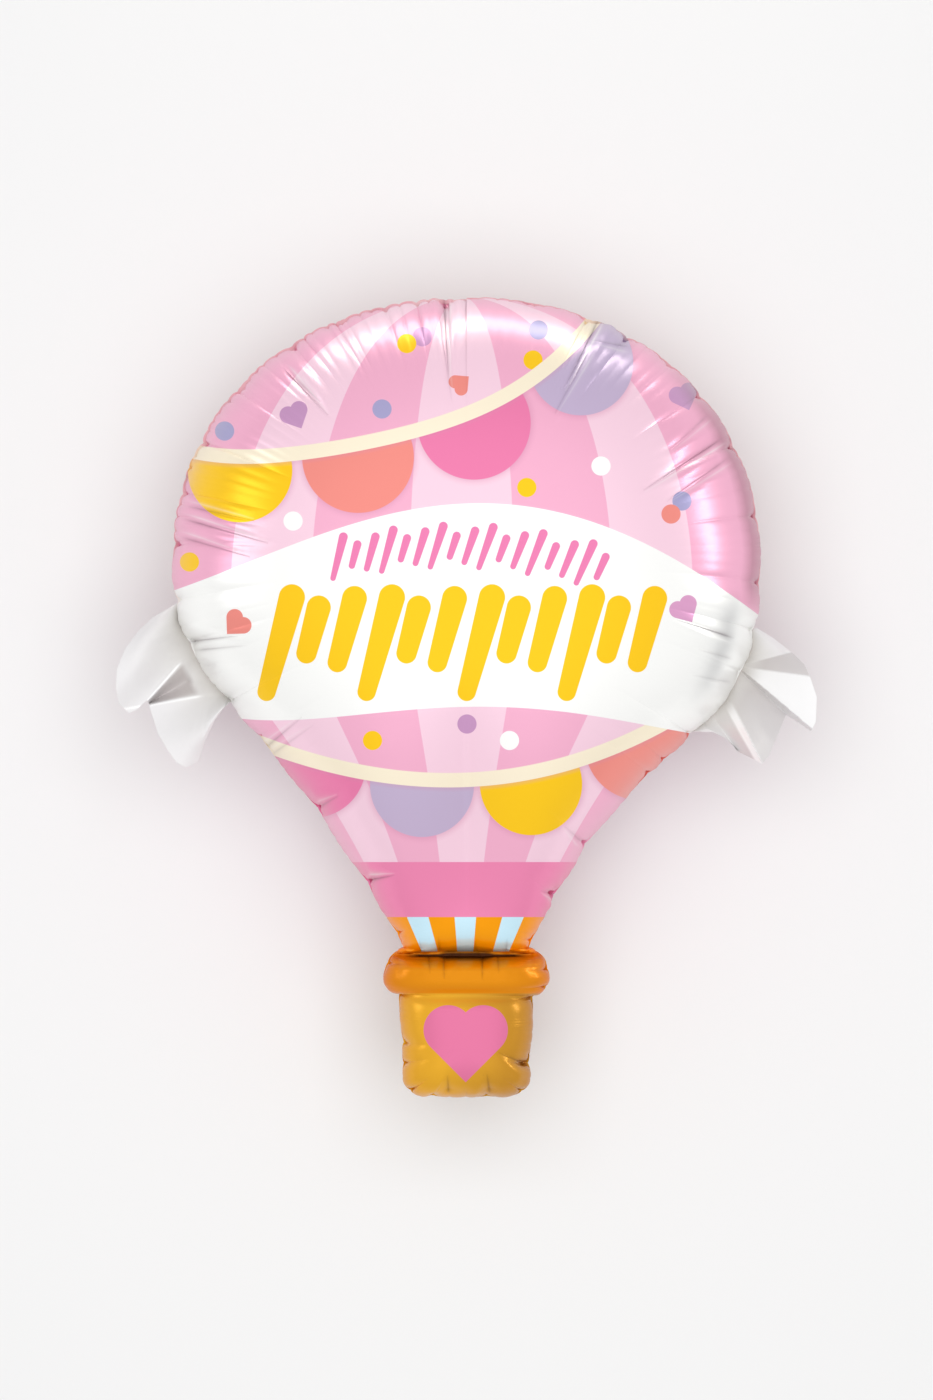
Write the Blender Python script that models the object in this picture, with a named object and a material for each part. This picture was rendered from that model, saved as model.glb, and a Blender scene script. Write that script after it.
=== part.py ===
"""A shaped foil balloon, inflated and lying on its back with the printed side up.

The balloon has the outline of a hot-air balloon: a round envelope that tapers to a waist, with a
small basket below it. Two foil panels are sealed together along that outline, so the body is a
pillow with a thin flange all round. A white film tail is sealed to the seam on each side.

Frame: metres, +Z up, +Y towards the crown of the envelope, +X to the viewer's right. The origin
is at the middle of the plan, on the surface that the balloon lies on.
"""

import math

import bmesh
import bpy
import numpy as np

# Envelope, seen from the front
ENVELOPE_HALF_WIDTH = 0.374
CROWN_HEIGHT = 0.3366
CROWN_POWER = 2.12
FLANK_LENGTH = 0.4915
MOUTH_HALF_WIDTH = 0.0787
FLANK_SHOULDER_LEFT = 0.172
FLANK_SHOULDER_RIGHT = 0.260
FLANK_MOUTH_RISE_LEFT = 0.337
FLANK_MOUTH_RISE_RIGHT = 0.316
FLANK_MOUTH_SPREAD_LEFT = 0.189
FLANK_MOUTH_SPREAD_RIGHT = 0.146

# Waist and basket, seen from the front
WAIST_LENGTH = 0.0102
WAIST_PINCH = 0.0110
RIM_HALF_WIDTH = 0.1060
RIM_HEIGHT = 0.0457
BASKET_TOP_HALF_WIDTH = 0.0880
BASKET_FOOT_HALF_WIDTH = 0.0818
BASKET_HEIGHT = 0.1321
BASKET_CORNER = 0.0560
BASKET_CORNER_POWER = 5.5

# Depths, each measured from the seam to one side
ENVELOPE_HALF_DEPTH = 0.195
NECK_HALF_DEPTH = 0.066
WAIST_HALF_DEPTH = 0.014
RIM_HALF_DEPTH = 0.054
BASKET_HALF_DEPTH = 0.058
RIM_GROOVE_DEPTH = 0.009
RIM_GROOVE_WIDTH = 0.010
MOUTH_ROUNDING = 0.050
RIM_ROUNDING = 0.016
NECK_SWEEP = 2.1
SPINE_SWEEP = 2.6
PLATEAU_LENGTH = 0.070
FLAT_SPOT_DEPTH = 0.0015

# Seam
SEAM_WIDTH = 0.0055
SEAM_THICKNESS = 0.0012
PUCKER_PITCH = 0.0460
PUCKER_DEPTH = 0.0060
PUCKER_SPREAD = 0.35
STEPS_A_PUCKER = 4
BASKET_STEP = 0.0085
FACET_ANGLES = (0, 23, 44, 63, 79, 90)

# Tails: their reach past the envelope's side, and where the seam carries them, down from its widest line
TAIL_OVERHANG = 0.0705
TAIL_LEFT_START = 0.052
TAIL_LEFT_END = 0.178
TAIL_RIGHT_START = 0.084
TAIL_RIGHT_END = 0.216
FILM_THICKNESS = 0.0010
SEAL_GAP = 0.0003
TAIL_CLEAR = 0.0010
TAIL_ROWS = 5
TAIL_STEPS = 2

# Each tail's free edge: share of the way from its upper end to its lower one, and the reach
# from the middle of its sealed edge, as a share of the one that TAIL_OVERHANG sets
TAIL_LEFT_EDGE_SHARES = ((0.0, 0.64), (0.30, 0.79), (0.53, 1.0), (0.58, 0.75), (0.80, 1.27),
                         (0.88, 0.85), (1.0, 0.61))
TAIL_RIGHT_EDGE_SHARES = ((0.0, 0.64), (0.20, 0.67), (0.50, 1.0), (0.55, 0.70), (0.71, 0.94),
                          (0.80, 0.76), (1.0, 0.74))

# The folds across each tail: where, how wide and how high, the first two as shares of the way from
# the tail's upper end to its lower one, the last as a share of PLEAT_HEIGHT
PLEAT_HEIGHT = 0.0160
TAIL_LEFT_PLEAT_SHARES = ((0.28, 0.20, 1.0), (0.58, 0.05, -0.75), (0.78, 0.11, 0.94))
TAIL_RIGHT_PLEAT_SHARES = ((0.12, 0.06, 0.5), (0.27, 0.05, 0.75), (0.40, 0.05, -0.5), (0.50, 0.05, 0.75),
                           (0.60, 0.05, -0.75), (0.71, 0.06, 0.88), (0.86, 0.05, 0.63))

# Heights along the balloon, from the sizes above
TOTAL_LENGTH = CROWN_HEIGHT + FLANK_LENGTH + WAIST_LENGTH + RIM_HEIGHT + BASKET_HEIGHT
WIDEST_Y = TOTAL_LENGTH / 2 - CROWN_HEIGHT
MOUTH_Y = WIDEST_Y - FLANK_LENGTH
RIM_Y = MOUTH_Y - WAIST_LENGTH
BASKET_Y = RIM_Y - RIM_HEIGHT
FOOT_Y = BASKET_Y - BASKET_HEIGHT
BASKET_CENTRE_Y = FOOT_Y + BASKET_HEIGHT / 2
SEAM_Z = SEAM_THICKNESS / 2 + ENVELOPE_HALF_DEPTH - FLAT_SPOT_DEPTH
WAIST_MIDDLE_Y = (MOUTH_Y + RIM_Y) / 2

# Colours and finishes
FOIL_PINK = (0.90, 0.45, 0.66, 1)
FILM_WHITE = (0.90, 0.88, 0.86, 1)


def clear_scene():
    """Removes every object that is in the file."""
    for thing in list(bpy.data.objects):
        bpy.data.objects.remove(thing)


def foil_material(name, colour, metallic, roughness):
    """A Principled material with plain values."""
    material = bpy.data.materials.new(name)
    material.use_nodes = True
    shader = material.node_tree.nodes["Principled BSDF"]
    shader.inputs["Base Color"].default_value = colour
    shader.inputs["Metallic"].default_value = metallic
    shader.inputs["Roughness"].default_value = roughness
    return material


def even_steps(curve, count):
    """The curve's points at count equal steps of its length."""
    lengths = np.hypot(*np.diff(curve, axis=0).T)
    along = np.concatenate([[0], np.cumsum(lengths)])
    wanted = np.linspace(0, along[-1], count + 1)
    return np.stack([np.interp(wanted, along, axis) for axis in curve.T], axis=1)


def curve_length(curve):
    """The length of a line of points."""
    return float(np.hypot(*np.diff(curve, axis=0).T).sum())


def envelope_edge(shoulder, rise, spread):
    """The right edge from the crown to the mouth: a superellipse, then a cubic curve down the flank."""
    turn = np.linspace(0, math.pi / 2, 400)
    power = 2 / CROWN_POWER
    crown = np.stack([ENVELOPE_HALF_WIDTH * np.sin(turn) ** power,
                      WIDEST_Y + CROWN_HEIGHT * np.cos(turn) ** power], axis=1)
    corners = np.array([(ENVELOPE_HALF_WIDTH, WIDEST_Y),
                        (ENVELOPE_HALF_WIDTH, WIDEST_Y - shoulder),
                        (MOUTH_HALF_WIDTH + spread, MOUTH_Y + rise),
                        (MOUTH_HALF_WIDTH, MOUTH_Y)])
    along = np.linspace(0, 1, 400)[:, None]
    weights = ((1 - along) ** 3, 3 * (1 - along) ** 2 * along, 3 * (1 - along) * along**2, along**3)
    flank = sum(weight * corner for weight, corner in zip(weights, corners))
    return np.concatenate([crown, flank[1:]])


def basket_edge():
    """The right edge from the mouth through the waist and round the basket to the middle of its foot."""
    along = np.linspace(0, 1, 60)
    blend = along**2 * (3 - 2 * along)
    waist_x = MOUTH_HALF_WIDTH + (BASKET_TOP_HALF_WIDTH - MOUTH_HALF_WIDTH) * blend
    waist_x = waist_x - WAIST_PINCH * np.sin(math.pi * along)
    waist = np.stack([waist_x, MOUTH_Y - WAIST_LENGTH * along], axis=1)
    swell = np.sqrt(1 - np.abs(2 * along - 1) ** 4)
    rim_x = BASKET_TOP_HALF_WIDTH + (RIM_HALF_WIDTH - BASKET_TOP_HALF_WIDTH) * swell
    rim = np.stack([rim_x, RIM_Y - RIM_HEIGHT * along], axis=1)
    side_x = BASKET_TOP_HALF_WIDTH + (BASKET_FOOT_HALF_WIDTH - BASKET_TOP_HALF_WIDTH) * along**0.7
    side = np.stack([side_x, BASKET_Y - (BASKET_HEIGHT - BASKET_CORNER) * along], axis=1)
    turn = np.linspace(0, math.pi / 2, 200)
    power = 2 / BASKET_CORNER_POWER
    foot = np.stack([BASKET_FOOT_HALF_WIDTH * np.cos(turn) ** power,
                     FOOT_Y + BASKET_CORNER * (1 - np.sin(turn) ** power)], axis=1)
    return np.concatenate([waist, rim[1:], side[1:], foot[1:]])


def spine_height(edge_y):
    """Where on the middle line the spoke of an edge point starts.

    All spokes of the crown start at the envelope's centre. Down the flank the start slides along the
    middle line to the waist, slowly at first, and round the basket's foot it stays at one point.
    """
    share = np.clip((WIDEST_Y - edge_y) / (WIDEST_Y - WAIST_MIDDLE_Y), 0, 1)
    slide = WIDEST_Y - (WIDEST_Y - WAIST_MIDDLE_Y) * share**SPINE_SWEEP
    start = np.where(edge_y > WAIST_MIDDLE_Y, slide, edge_y)
    return np.maximum(start, BASKET_CENTRE_Y)


def half_depth(spine_y):
    """Half the thickness over the middle line: the bulb of the envelope, the waist and the basket."""
    bulb_start = WIDEST_Y - PLATEAU_LENGTH
    along = np.clip((bulb_start - spine_y) / (bulb_start - MOUTH_Y), 0, 1)
    bulb = NECK_HALF_DEPTH + (ENVELOPE_HALF_DEPTH - NECK_HALF_DEPTH) * (1 - along**2) ** NECK_SWEEP
    closing = np.clip((MOUTH_Y + MOUTH_ROUNDING - spine_y) / MOUTH_ROUNDING, 0, 1)
    bulb = WAIST_HALF_DEPTH + (bulb - WAIST_HALF_DEPTH) * np.sqrt(1 - closing**3)
    opening = np.clip((spine_y - RIM_Y + RIM_ROUNDING) / RIM_ROUNDING, 0, 1)
    to_body = np.clip((BASKET_Y - spine_y) / (BASKET_Y - BASKET_CENTRE_Y), 0, 1)
    basket = RIM_HALF_DEPTH + (BASKET_HALF_DEPTH - RIM_HALF_DEPTH) * to_body
    groove = np.exp(-(((spine_y - BASKET_Y) / RIM_GROOVE_WIDTH) ** 2))
    basket = basket - RIM_GROOVE_DEPTH * groove
    basket = WAIST_HALF_DEPTH + (basket - WAIST_HALF_DEPTH) * np.sqrt(1 - opening**2)
    return np.where(spine_y > RIM_Y, bulb, basket)


def pucker_depths(phases, side):
    """How far each edge point is pulled in by the gathers, from 0 on a bulge to about 1 in a valley."""
    valley = 1 - np.abs(np.sin(math.pi * phases)) ** 0.7
    number = np.round(phases)
    uneven = 0.62 + 0.38 * np.sin(2.4 * number + 1.9 * side)
    return valley * uneven


def body_edge(side):
    """One side of the body: edge points, spoke starts and gather depths, from the crown to the foot."""
    right = envelope_edge(FLANK_SHOULDER_RIGHT, FLANK_MOUTH_RISE_RIGHT, FLANK_MOUTH_SPREAD_RIGHT)
    left = envelope_edge(FLANK_SHOULDER_LEFT, FLANK_MOUTH_RISE_LEFT, FLANK_MOUTH_SPREAD_LEFT)
    puckers = max(4, round((curve_length(right) + curve_length(left)) / 2 / PUCKER_PITCH))
    steps = puckers * STEPS_A_PUCKER
    right = even_steps(right, steps)
    left = even_steps(left, steps)
    basket = basket_edge()
    basket = even_steps(basket, round(curve_length(basket) / BASKET_STEP))
    mean_y = np.concatenate([(right[:, 1] + left[:, 1]) / 2, basket[1:, 1]])
    starts = np.stack([np.zeros(len(mean_y)), spine_height(mean_y)], axis=1)
    envelope = right if side > 0 else left
    phases = np.arange(steps + 1) / STEPS_A_PUCKER + 0.5
    depths = np.concatenate([pucker_depths(phases, side), np.zeros(len(basket) - 1)])
    edge = np.concatenate([envelope, basket[1:]]) * (side, 1)
    return edge, starts, depths


def spokes(side):
    """The spokes of one side: starts, directions, lengths to the seam's inner line, gather depths."""
    edge, starts, depths = body_edge(side)
    arms = edge - starts
    lengths = np.hypot(*arms.T)
    return starts, arms / lengths[:, None], lengths - SEAM_WIDTH, PUCKER_DEPTH * depths


def seam_lines(side):
    """The seam's inner line, where the panels part, and its outer line, one side of the plan."""
    starts, arms, lengths, pulls = spokes(side)
    inner = starts + arms * (lengths - pulls)[:, None]
    return inner, inner + arms * SEAM_WIDTH


def panel_rows(side, front, angles):
    """Rows of points over one side of one panel, from the middle line out to the seam.

    A spoke's height follows the profile of an inflated pair of sheets: at a share t of the way out,
    the square root of 1 - t cubed. With t as the power 2/3 of the sine of an angle, that height is the
    angle's cosine. The gathers pull the points in towards the spoke's start, all of it at the seam and
    none of it further in than the gathers spread.
    """
    starts, arms, lengths, pulls = spokes(side)
    depth = half_depth(starts[:, 1])
    rows = []
    for angle in angles:
        share = math.sin(angle) ** (2 / 3)
        hold = max(0, (share - 1 + PUCKER_SPREAD) / PUCKER_SPREAD)
        plan = starts + arms * (lengths * share - pulls * hold)[:, None]
        height = SEAM_THICKNESS / 2 + math.cos(angle) * (depth - pulls * hold)
        z = SEAM_Z + height if front else np.maximum(SEAM_Z - height, 0)
        rows.append(np.column_stack([plan, z]))
    return rows


def grid_faces(rows, columns, offset, flip):
    """Triangles over a grid of points that is stored row by row."""
    row, column = np.meshgrid(np.arange(rows - 1), np.arange(columns - 1), indexing="ij")
    first = offset + (row * columns + column).ravel()
    second = first + 1
    third = first + columns + 1
    fourth = first + columns
    faces = np.concatenate([np.stack([first, second, third], 1), np.stack([first, third, fourth], 1)])
    return faces[:, ::-1] if flip else faces


def add_solid(name, grids, material, smooth_angle):
    """One closed mesh object from grids of points, joined where their points meet."""
    points = np.concatenate([np.concatenate(rows) for rows, _ in grids])
    faces = []
    offset = 0
    for rows, flip in grids:
        faces.append(grid_faces(len(rows), len(rows[0]), offset, flip))
        offset += len(rows) * len(rows[0])
    mesh = bpy.data.meshes.new(name)
    mesh.from_pydata(points.tolist(), [], np.concatenate(faces).tolist())
    shape = bmesh.new()
    shape.from_mesh(mesh)
    bmesh.ops.remove_doubles(shape, verts=shape.verts, dist=0.00002)
    bmesh.ops.dissolve_degenerate(shape, edges=shape.edges, dist=0.00001)
    bmesh.ops.triangulate(shape, faces=shape.faces)
    bmesh.ops.recalc_face_normals(shape, faces=shape.faces)
    shape.to_mesh(mesh)
    shape.free()
    mesh.shade_smooth()
    mesh.set_sharp_from_angle(angle=math.radians(smooth_angle))
    thing = bpy.data.objects.new(name, mesh)
    thing.data.materials.append(material)
    bpy.context.scene.collection.objects.link(thing)
    return thing


def add_body(material):
    """The inflated body: two panels on each side of the middle line, and the flange round them."""
    front_angles = [math.radians(angle) for angle in FACET_ANGLES]
    flat_angle = math.acos(1 - FLAT_SPOT_DEPTH / ENVELOPE_HALF_DEPTH)
    back_angles = sorted([*front_angles, flat_angle])
    grids = []
    for side in (1, -1):
        inner, outer = seam_lines(side)
        top = np.full(len(outer), SEAM_Z + SEAM_THICKNESS / 2)
        bottom = np.full(len(outer), SEAM_Z - SEAM_THICKNESS / 2)
        front = panel_rows(side, True, front_angles)
        back = panel_rows(side, False, back_angles)
        flange = [np.column_stack([inner, top]), np.column_stack([outer, top]),
                  np.column_stack([outer, bottom]), np.column_stack([inner, bottom])]
        grids.append((front + flange[1:] + back[::-1][1:], side > 0))
    return add_solid("balloon", grids, material, 40)


def tail_lines(side, start, end, edge_knots):
    """The lines of one tail, from its sealed edge out to its free edge, in plan.

    The sealed edge follows the seam's own points, under the flange. The free edge turns round the
    middle of the sealed edge, with the reach that the knots give.
    """
    inner, outer = seam_lines(side)
    depth_down = WIDEST_Y - outer[:, 1]
    on_seam = np.flatnonzero((depth_down >= start) & (depth_down <= end) & (outer[:, 1] > MOUTH_Y))
    count = (len(on_seam) - 1) * TAIL_STEPS + 1
    fine = np.linspace(on_seam[0], on_seam[-1], count)
    inner = np.stack([np.interp(fine, on_seam, axis[on_seam]) for axis in inner.T], axis=1)
    outer = np.stack([np.interp(fine, on_seam, axis[on_seam]) for axis in outer.T], axis=1)
    away = (outer - inner) / np.hypot(*(outer - inner).T)[:, None]
    root = inner + away * SEAM_WIDTH * 0.3
    lip = outer + away * TAIL_CLEAR
    hub = outer[count // 2]
    turns = np.unwrap(np.arctan2(outer[:, 1] - hub[1], outer[:, 0] - hub[0])[[0, -1]])
    along = np.linspace(0, 1, count)
    if side * (turns[1] - turns[0]) > 0:
        turns[1] -= side * 2 * math.pi
    turn = turns[0] + (turns[1] - turns[0]) * along
    knots = np.array(edge_knots)
    reach = np.interp(along, knots[:, 0], knots[:, 1])
    room = ENVELOPE_HALF_WIDTH + TAIL_OVERHANG - abs(hub[0])
    reach = reach * room / np.max(reach * side * np.cos(turn))
    least = np.hypot(*(lip - hub).T) + 4 * TAIL_CLEAR
    reach = np.maximum(reach, least)
    edge = hub + reach[:, None] * np.stack([np.cos(turn), np.sin(turn)], axis=1)
    return along, root, lip, edge


def pleat_height(along, pleats):
    """The height of the folds across a tail: a rounded ridge or valley for each pleat."""
    height = np.zeros(len(along))
    for centre, width, share in pleats:
        height += PLEAT_HEIGHT * share * np.maximum(0, 1 - np.abs((along - centre) / width) ** 1.4)
    return height


def add_tail(name, side, span, edge_knots, pleats, material):
    """One film tail: a pleated fan of even thickness, sealed under the flange."""
    along, root, lip, edge = tail_lines(side, *span, edge_knots)
    height = pleat_height(along, pleats)
    middle = SEAM_Z - SEAM_THICKNESS / 2 - SEAL_GAP - FILM_THICKNESS / 2
    plans = [root, lip] + [lip + (edge - lip) * out / TAIL_ROWS for out in range(1, TAIL_ROWS + 1)]
    rises = [0, 0] + [math.sin(math.pi / 2 * out / TAIL_ROWS) for out in range(1, TAIL_ROWS + 1)]
    upper = [np.column_stack([plan, middle + FILM_THICKNESS / 2 + height * rise])
             for plan, rise in zip(plans, rises)]
    lower = [np.column_stack([plan, middle - FILM_THICKNESS / 2 + height * rise])
             for plan, rise in zip(plans, rises)]
    around = upper + lower[::-1] + upper[:1]
    first = [np.array([row[0] for row in upper]), np.array([row[0] for row in lower])]
    last = [np.array([row[-1] for row in upper]), np.array([row[-1] for row in lower])]
    grids = [(around, False), (first, False), (last, True)]
    return add_solid(name, grids, material, 35)


def main():
    clear_scene()
    foil = foil_material("printed_foil", FOIL_PINK, 0.4, 0.3)
    film = foil_material("white_film", FILM_WHITE, 0.2, 0.4)
    add_body(foil)
    add_tail("banner_tail_left", -1, (TAIL_LEFT_START, TAIL_LEFT_END), TAIL_LEFT_EDGE_SHARES,
             TAIL_LEFT_PLEAT_SHARES, film)
    add_tail("banner_tail_right", 1, (TAIL_RIGHT_START, TAIL_RIGHT_END), TAIL_RIGHT_EDGE_SHARES,
             TAIL_RIGHT_PLEAT_SHARES, film)


main()
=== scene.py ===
"""A shaped foil balloon on its back: the looks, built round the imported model.

The balloon is one inflated body of two printed foil panels, with a white film tail on each side.
Both are worked out with numpy as grids of points: spokes that run from the balloon's middle line
out to the seam. The print is kept on the mesh as each point's place in the seam's plane and as
signed distances to the print's long lines, in metres.

Frame: metres, +Z up, +Y towards the crown of the envelope, +X to the viewer's right.
"""

import logging
import math
from dataclasses import dataclass, field
from enum import Enum
from functools import cached_property, partial, reduce

import bpy
import numpy as np
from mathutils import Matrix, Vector


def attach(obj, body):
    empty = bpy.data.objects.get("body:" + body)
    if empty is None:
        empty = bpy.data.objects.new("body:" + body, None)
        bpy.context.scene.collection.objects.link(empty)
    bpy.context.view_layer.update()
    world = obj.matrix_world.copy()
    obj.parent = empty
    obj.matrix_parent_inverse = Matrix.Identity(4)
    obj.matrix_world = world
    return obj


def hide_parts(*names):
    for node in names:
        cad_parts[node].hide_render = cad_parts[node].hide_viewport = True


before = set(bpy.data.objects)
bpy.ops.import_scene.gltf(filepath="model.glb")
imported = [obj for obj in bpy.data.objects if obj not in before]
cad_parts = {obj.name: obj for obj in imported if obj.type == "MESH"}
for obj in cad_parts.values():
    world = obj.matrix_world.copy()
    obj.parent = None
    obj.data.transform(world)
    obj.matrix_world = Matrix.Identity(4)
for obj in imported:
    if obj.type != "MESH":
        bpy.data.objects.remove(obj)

Array = np.ndarray
Pair = tuple[float, float]
Triple = tuple[float, float, float]
Colour = tuple[float, float, float, float]
LOG = logging.getLogger("foil_balloon")
PROFILE_POWER = 2 / 3
FLANGE_MAP = -0.003
NO_AREA = 1e-10
NO_GAP = 1e-6
INK_BORDER = 0.0005


class Side(Enum):
    """The half of the balloon, seen from the front."""

    LEFT = -1
    RIGHT = 1


class Panel(Enum):
    """The foil panel: the printed front faces up, the back lies on the floor."""

    FRONT = 1
    BACK = -1


def ink(code: str) -> Colour:
    """Turns a six-digit colour code into the linear values that a shader reads.

    Args:
        code: Six hexadecimal digits.

    Returns:
        Red, green and blue, and 1 for opaque.
    """
    values = np.array([int(code[at:at + 2], 16) for at in (0, 2, 4)]) / 255
    linear = np.where(values <= 0.04045, values / 12.92, ((values + 0.055) / 1.055) ** 2.4)
    return (*(float(value) for value in linear), 1.0)


def smooth_step(values: Array, low: float, high: float) -> Array:
    """Rises smoothly from 0 at low to 1 at high: 3x squared less 2x cubed of the share x."""
    share = np.clip((values - low) / (high - low), 0, 1)
    return share * share * (3 - 2 * share)


def line_length(points: Array) -> Array:
    """The length along a line of plan points, at each of them."""
    return np.concatenate([[0], np.cumsum(np.hypot(*np.diff(points, axis=0).T))])


def at_lengths(points: Array, wanted: Array) -> Array:
    """The points of a plan line at given lengths along it, as rows of x and y."""
    along = line_length(points)
    return np.stack([np.interp(wanted, along, axis) for axis in points.T], axis=1)


def even_steps(points: Array, count: int) -> Array:
    """The count + 1 points of a plan line at equal steps of its length."""
    return at_lengths(points, np.linspace(0, line_length(points)[-1], count + 1))


@dataclass(frozen=True)
class Notch:
    """One deep pinch in the seam, where a fold runs in from it.

    The place is in plan. The strength goes from 0 to 1, and the reach is how far the fold runs in.
    """

    x: float
    y: float
    strength: float
    reach: float = 0.040


NOTCHES = {side: tuple(Notch(*row) for row in rows) for side, rows in {
    Side.LEFT: (
        (-0.026, 0.497, 1.0, 0.085), (-0.063, 0.502, 0.35), (-0.106, 0.497, 0.5), (-0.160, 0.476, 0.6),
        (-0.222, 0.446, 0.9, 0.050), (-0.279, 0.387, 0.6), (-0.332, 0.320, 0.8, 0.055),
        (-0.356, 0.258, 0.7), (-0.369, 0.193, 0.8, 0.070), (-0.366, 0.123, 1.0, 0.045),
        (-0.347, 0.071, 0.8, 0.060), (-0.302, -0.006, 0.9), (-0.265, -0.051, 0.7),
        (-0.184, -0.137, 0.9, 0.035), (-0.120, -0.232, 0.9, 0.040), (-0.086, -0.299, 0.6),
        (-0.102, -0.337, 0.6, 0.030), (-0.088, -0.374, 0.5, 0.030), (-0.074, -0.438, 0.7, 0.030),
        (-0.074, -0.465, 0.5, 0.030), (-0.068, -0.494, 0.7, 0.035), (-0.046, -0.502, 0.6, 0.030),
    ),
    Side.RIGHT: (
        (0.086, 0.497, 0.35), (0.153, 0.477, 0.8, 0.070), (0.200, 0.447, 0.9, 0.050),
        (0.250, 0.413, 0.35), (0.294, 0.380, 0.8), (0.331, 0.314, 0.9, 0.060),
        (0.366, 0.229, 0.6, 0.055), (0.369, 0.144, 0.7, 0.060), (0.358, 0.086, 1.0, 0.045),
        (0.341, 0.034, 0.5), (0.283, -0.045, 1.0, 0.040), (0.250, -0.079, 0.5), (0.232, -0.097, 0.6),
        (0.145, -0.183, 1.0, 0.045), (0.109, -0.250, 0.8, 0.035), (0.079, -0.307, 0.5),
        (0.103, -0.345, 0.5, 0.030), (0.096, -0.363, 0.7, 0.030), (0.081, -0.380, 0.8, 0.035),
        (0.073, -0.466, 0.9, 0.045), (0.069, -0.497, 0.6, 0.035), (0.027, -0.502, 0.4, 0.030),
    ),
}.items()}


@dataclass
class Outline:
    """The seam's outer edge in plan, and the middle line that the spokes start from.

    The crown is half of a superellipse, each flank a cubic curve down to the mouth. Below it come
    the pinched waist, the bulging rim of the basket, its sides and its rounded foot.
    """

    half_width: float = 0.374
    crown_height: float = 0.3366
    crown_power: float = 2.12
    flank_length: float = 0.4915
    mouth_half_width: float = 0.0787
    shoulders: Pair = (0.172, 0.260)
    mouth_rises: Pair = (0.337, 0.316)
    mouth_spreads: Pair = (0.189, 0.146)
    waist_length: float = 0.0102
    rim_half_width: float = 0.1050
    rim_height: float = 0.0457
    basket_top: float = 0.0880
    basket_foot: float = 0.0818
    basket_height: float = 0.1321
    corner: float = 0.0560
    corner_power: float = 5.5
    rim_powers: Pair = (2.6, 0.55)
    side_power: float = 0.7
    spine_sweep: float = 2.6
    seam_width: float = 0.0055
    right_seam_share: float = 0.7
    curled_seam_width: float = 0.0024
    curl_heights: Pair = (0.10, 0.30)
    flank_points: int = 600
    rim_points: int = 240
    foot_points: int = 300
    place_points: int = 8001
    envelope_steps: int = 570
    basket_steps: int = 160
    crowding: float = 2.0
    crowding_width: float = 0.006

    def __post_init__(self) -> None:
        """Works out the heights along the balloon from its lengths."""
        total = (self.crown_height + self.flank_length + self.waist_length + self.rim_height
                 + self.basket_height)
        self.widest_y = total / 2 - self.crown_height
        self.mouth_y = self.widest_y - self.flank_length
        self.rim_y = self.mouth_y - self.waist_length
        self.basket_y = self.rim_y - self.rim_height
        self.foot_y = self.basket_y - self.basket_height
        self.waist_y = (self.mouth_y + self.rim_y) / 2
        self.basket_centre_y = self.foot_y + self.basket_height / 2

    def envelope(self, side: Side) -> Array:
        """The edge from the crown to the mouth on one side, mirrored to the right.

        Args:
            side: Which flank to follow.

        Returns:
            Closely spaced plan points with x at least 0.
        """
        turn = np.linspace(0, math.pi / 2, self.flank_points)
        power = 2 / self.crown_power
        crown = np.stack([self.half_width * np.sin(turn) ** power,
                          self.widest_y + self.crown_height * np.cos(turn) ** power], axis=1)
        pick = 0 if side is Side.LEFT else 1
        corners = np.array([(self.half_width, self.widest_y),
                            (self.half_width, self.widest_y - self.shoulders[pick]),
                            (self.mouth_half_width + self.mouth_spreads[pick],
                             self.mouth_y + self.mouth_rises[pick]),
                            (self.mouth_half_width, self.mouth_y)])
        along = np.linspace(0, 1, self.flank_points)[:, None]
        weights = ((1 - along) ** 3, 3 * (1 - along) ** 2 * along, 3 * (1 - along) * along**2, along**3)
        flank = sum(weight * corner for weight, corner in zip(weights, corners))
        return np.concatenate([crown, flank[1:]])

    def basket(self) -> Array:
        """The edge from the mouth round the rim and the basket to the middle of the foot.

        The rim starts at the corner of the mouth. It stands out from a slanted line down to the
        basket's top by a root of one less a power of the distance from its middle.

        Returns:
            Closely spaced plan points with x at least 0.
        """
        along = (1 - np.cos(np.linspace(0, math.pi, self.rim_points))) / 2
        slant = self.mouth_half_width + (self.basket_top - self.mouth_half_width) * along
        middle = (self.mouth_half_width + self.basket_top) / 2
        swell = (1 - np.abs(2 * along - 1) ** self.rim_powers[0]) ** self.rim_powers[1]
        rim_x = slant + (self.rim_half_width - middle) * swell
        rim = np.stack([rim_x, self.mouth_y - (self.waist_length + self.rim_height) * along], axis=1)
        side_x = self.basket_top + (self.basket_foot - self.basket_top) * along**self.side_power
        side = np.stack([side_x, self.basket_y - (self.basket_height - self.corner) * along], axis=1)
        turn = np.linspace(0, math.pi / 2, self.foot_points)
        power = 2 / self.corner_power
        foot = np.stack([self.basket_foot * np.cos(turn) ** power,
                         self.foot_y + self.corner * (1 - np.sin(turn) ** power)], axis=1)
        return np.concatenate([rim, side[1:], foot[1:]])

    def line(self, side: Side) -> Array:
        """The whole edge on one side, from the crown to the foot, mirrored to the right."""
        return np.concatenate([self.envelope(side), self.basket()[1:]])

    def notch_lengths(self, side: Side) -> Array:
        """How far along the edge each notch of one side sits, at the edge's nearest point.

        Args:
            side: Which half of the balloon.

        Returns:
            One length for each notch.
        """
        line = self.line(side)
        along = line_length(line)
        return np.array([along[np.argmin(np.hypot(line[:, 0] - abs(notch.x), line[:, 1] - notch.y))]
                         for notch in NOTCHES[side]])

    def part_lengths(self, side: Side) -> Pair:
        """The edge's length down to the mouth, and from there to the middle of the foot."""
        return float(line_length(self.envelope(side))[-1]), float(line_length(self.basket())[-1])

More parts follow.
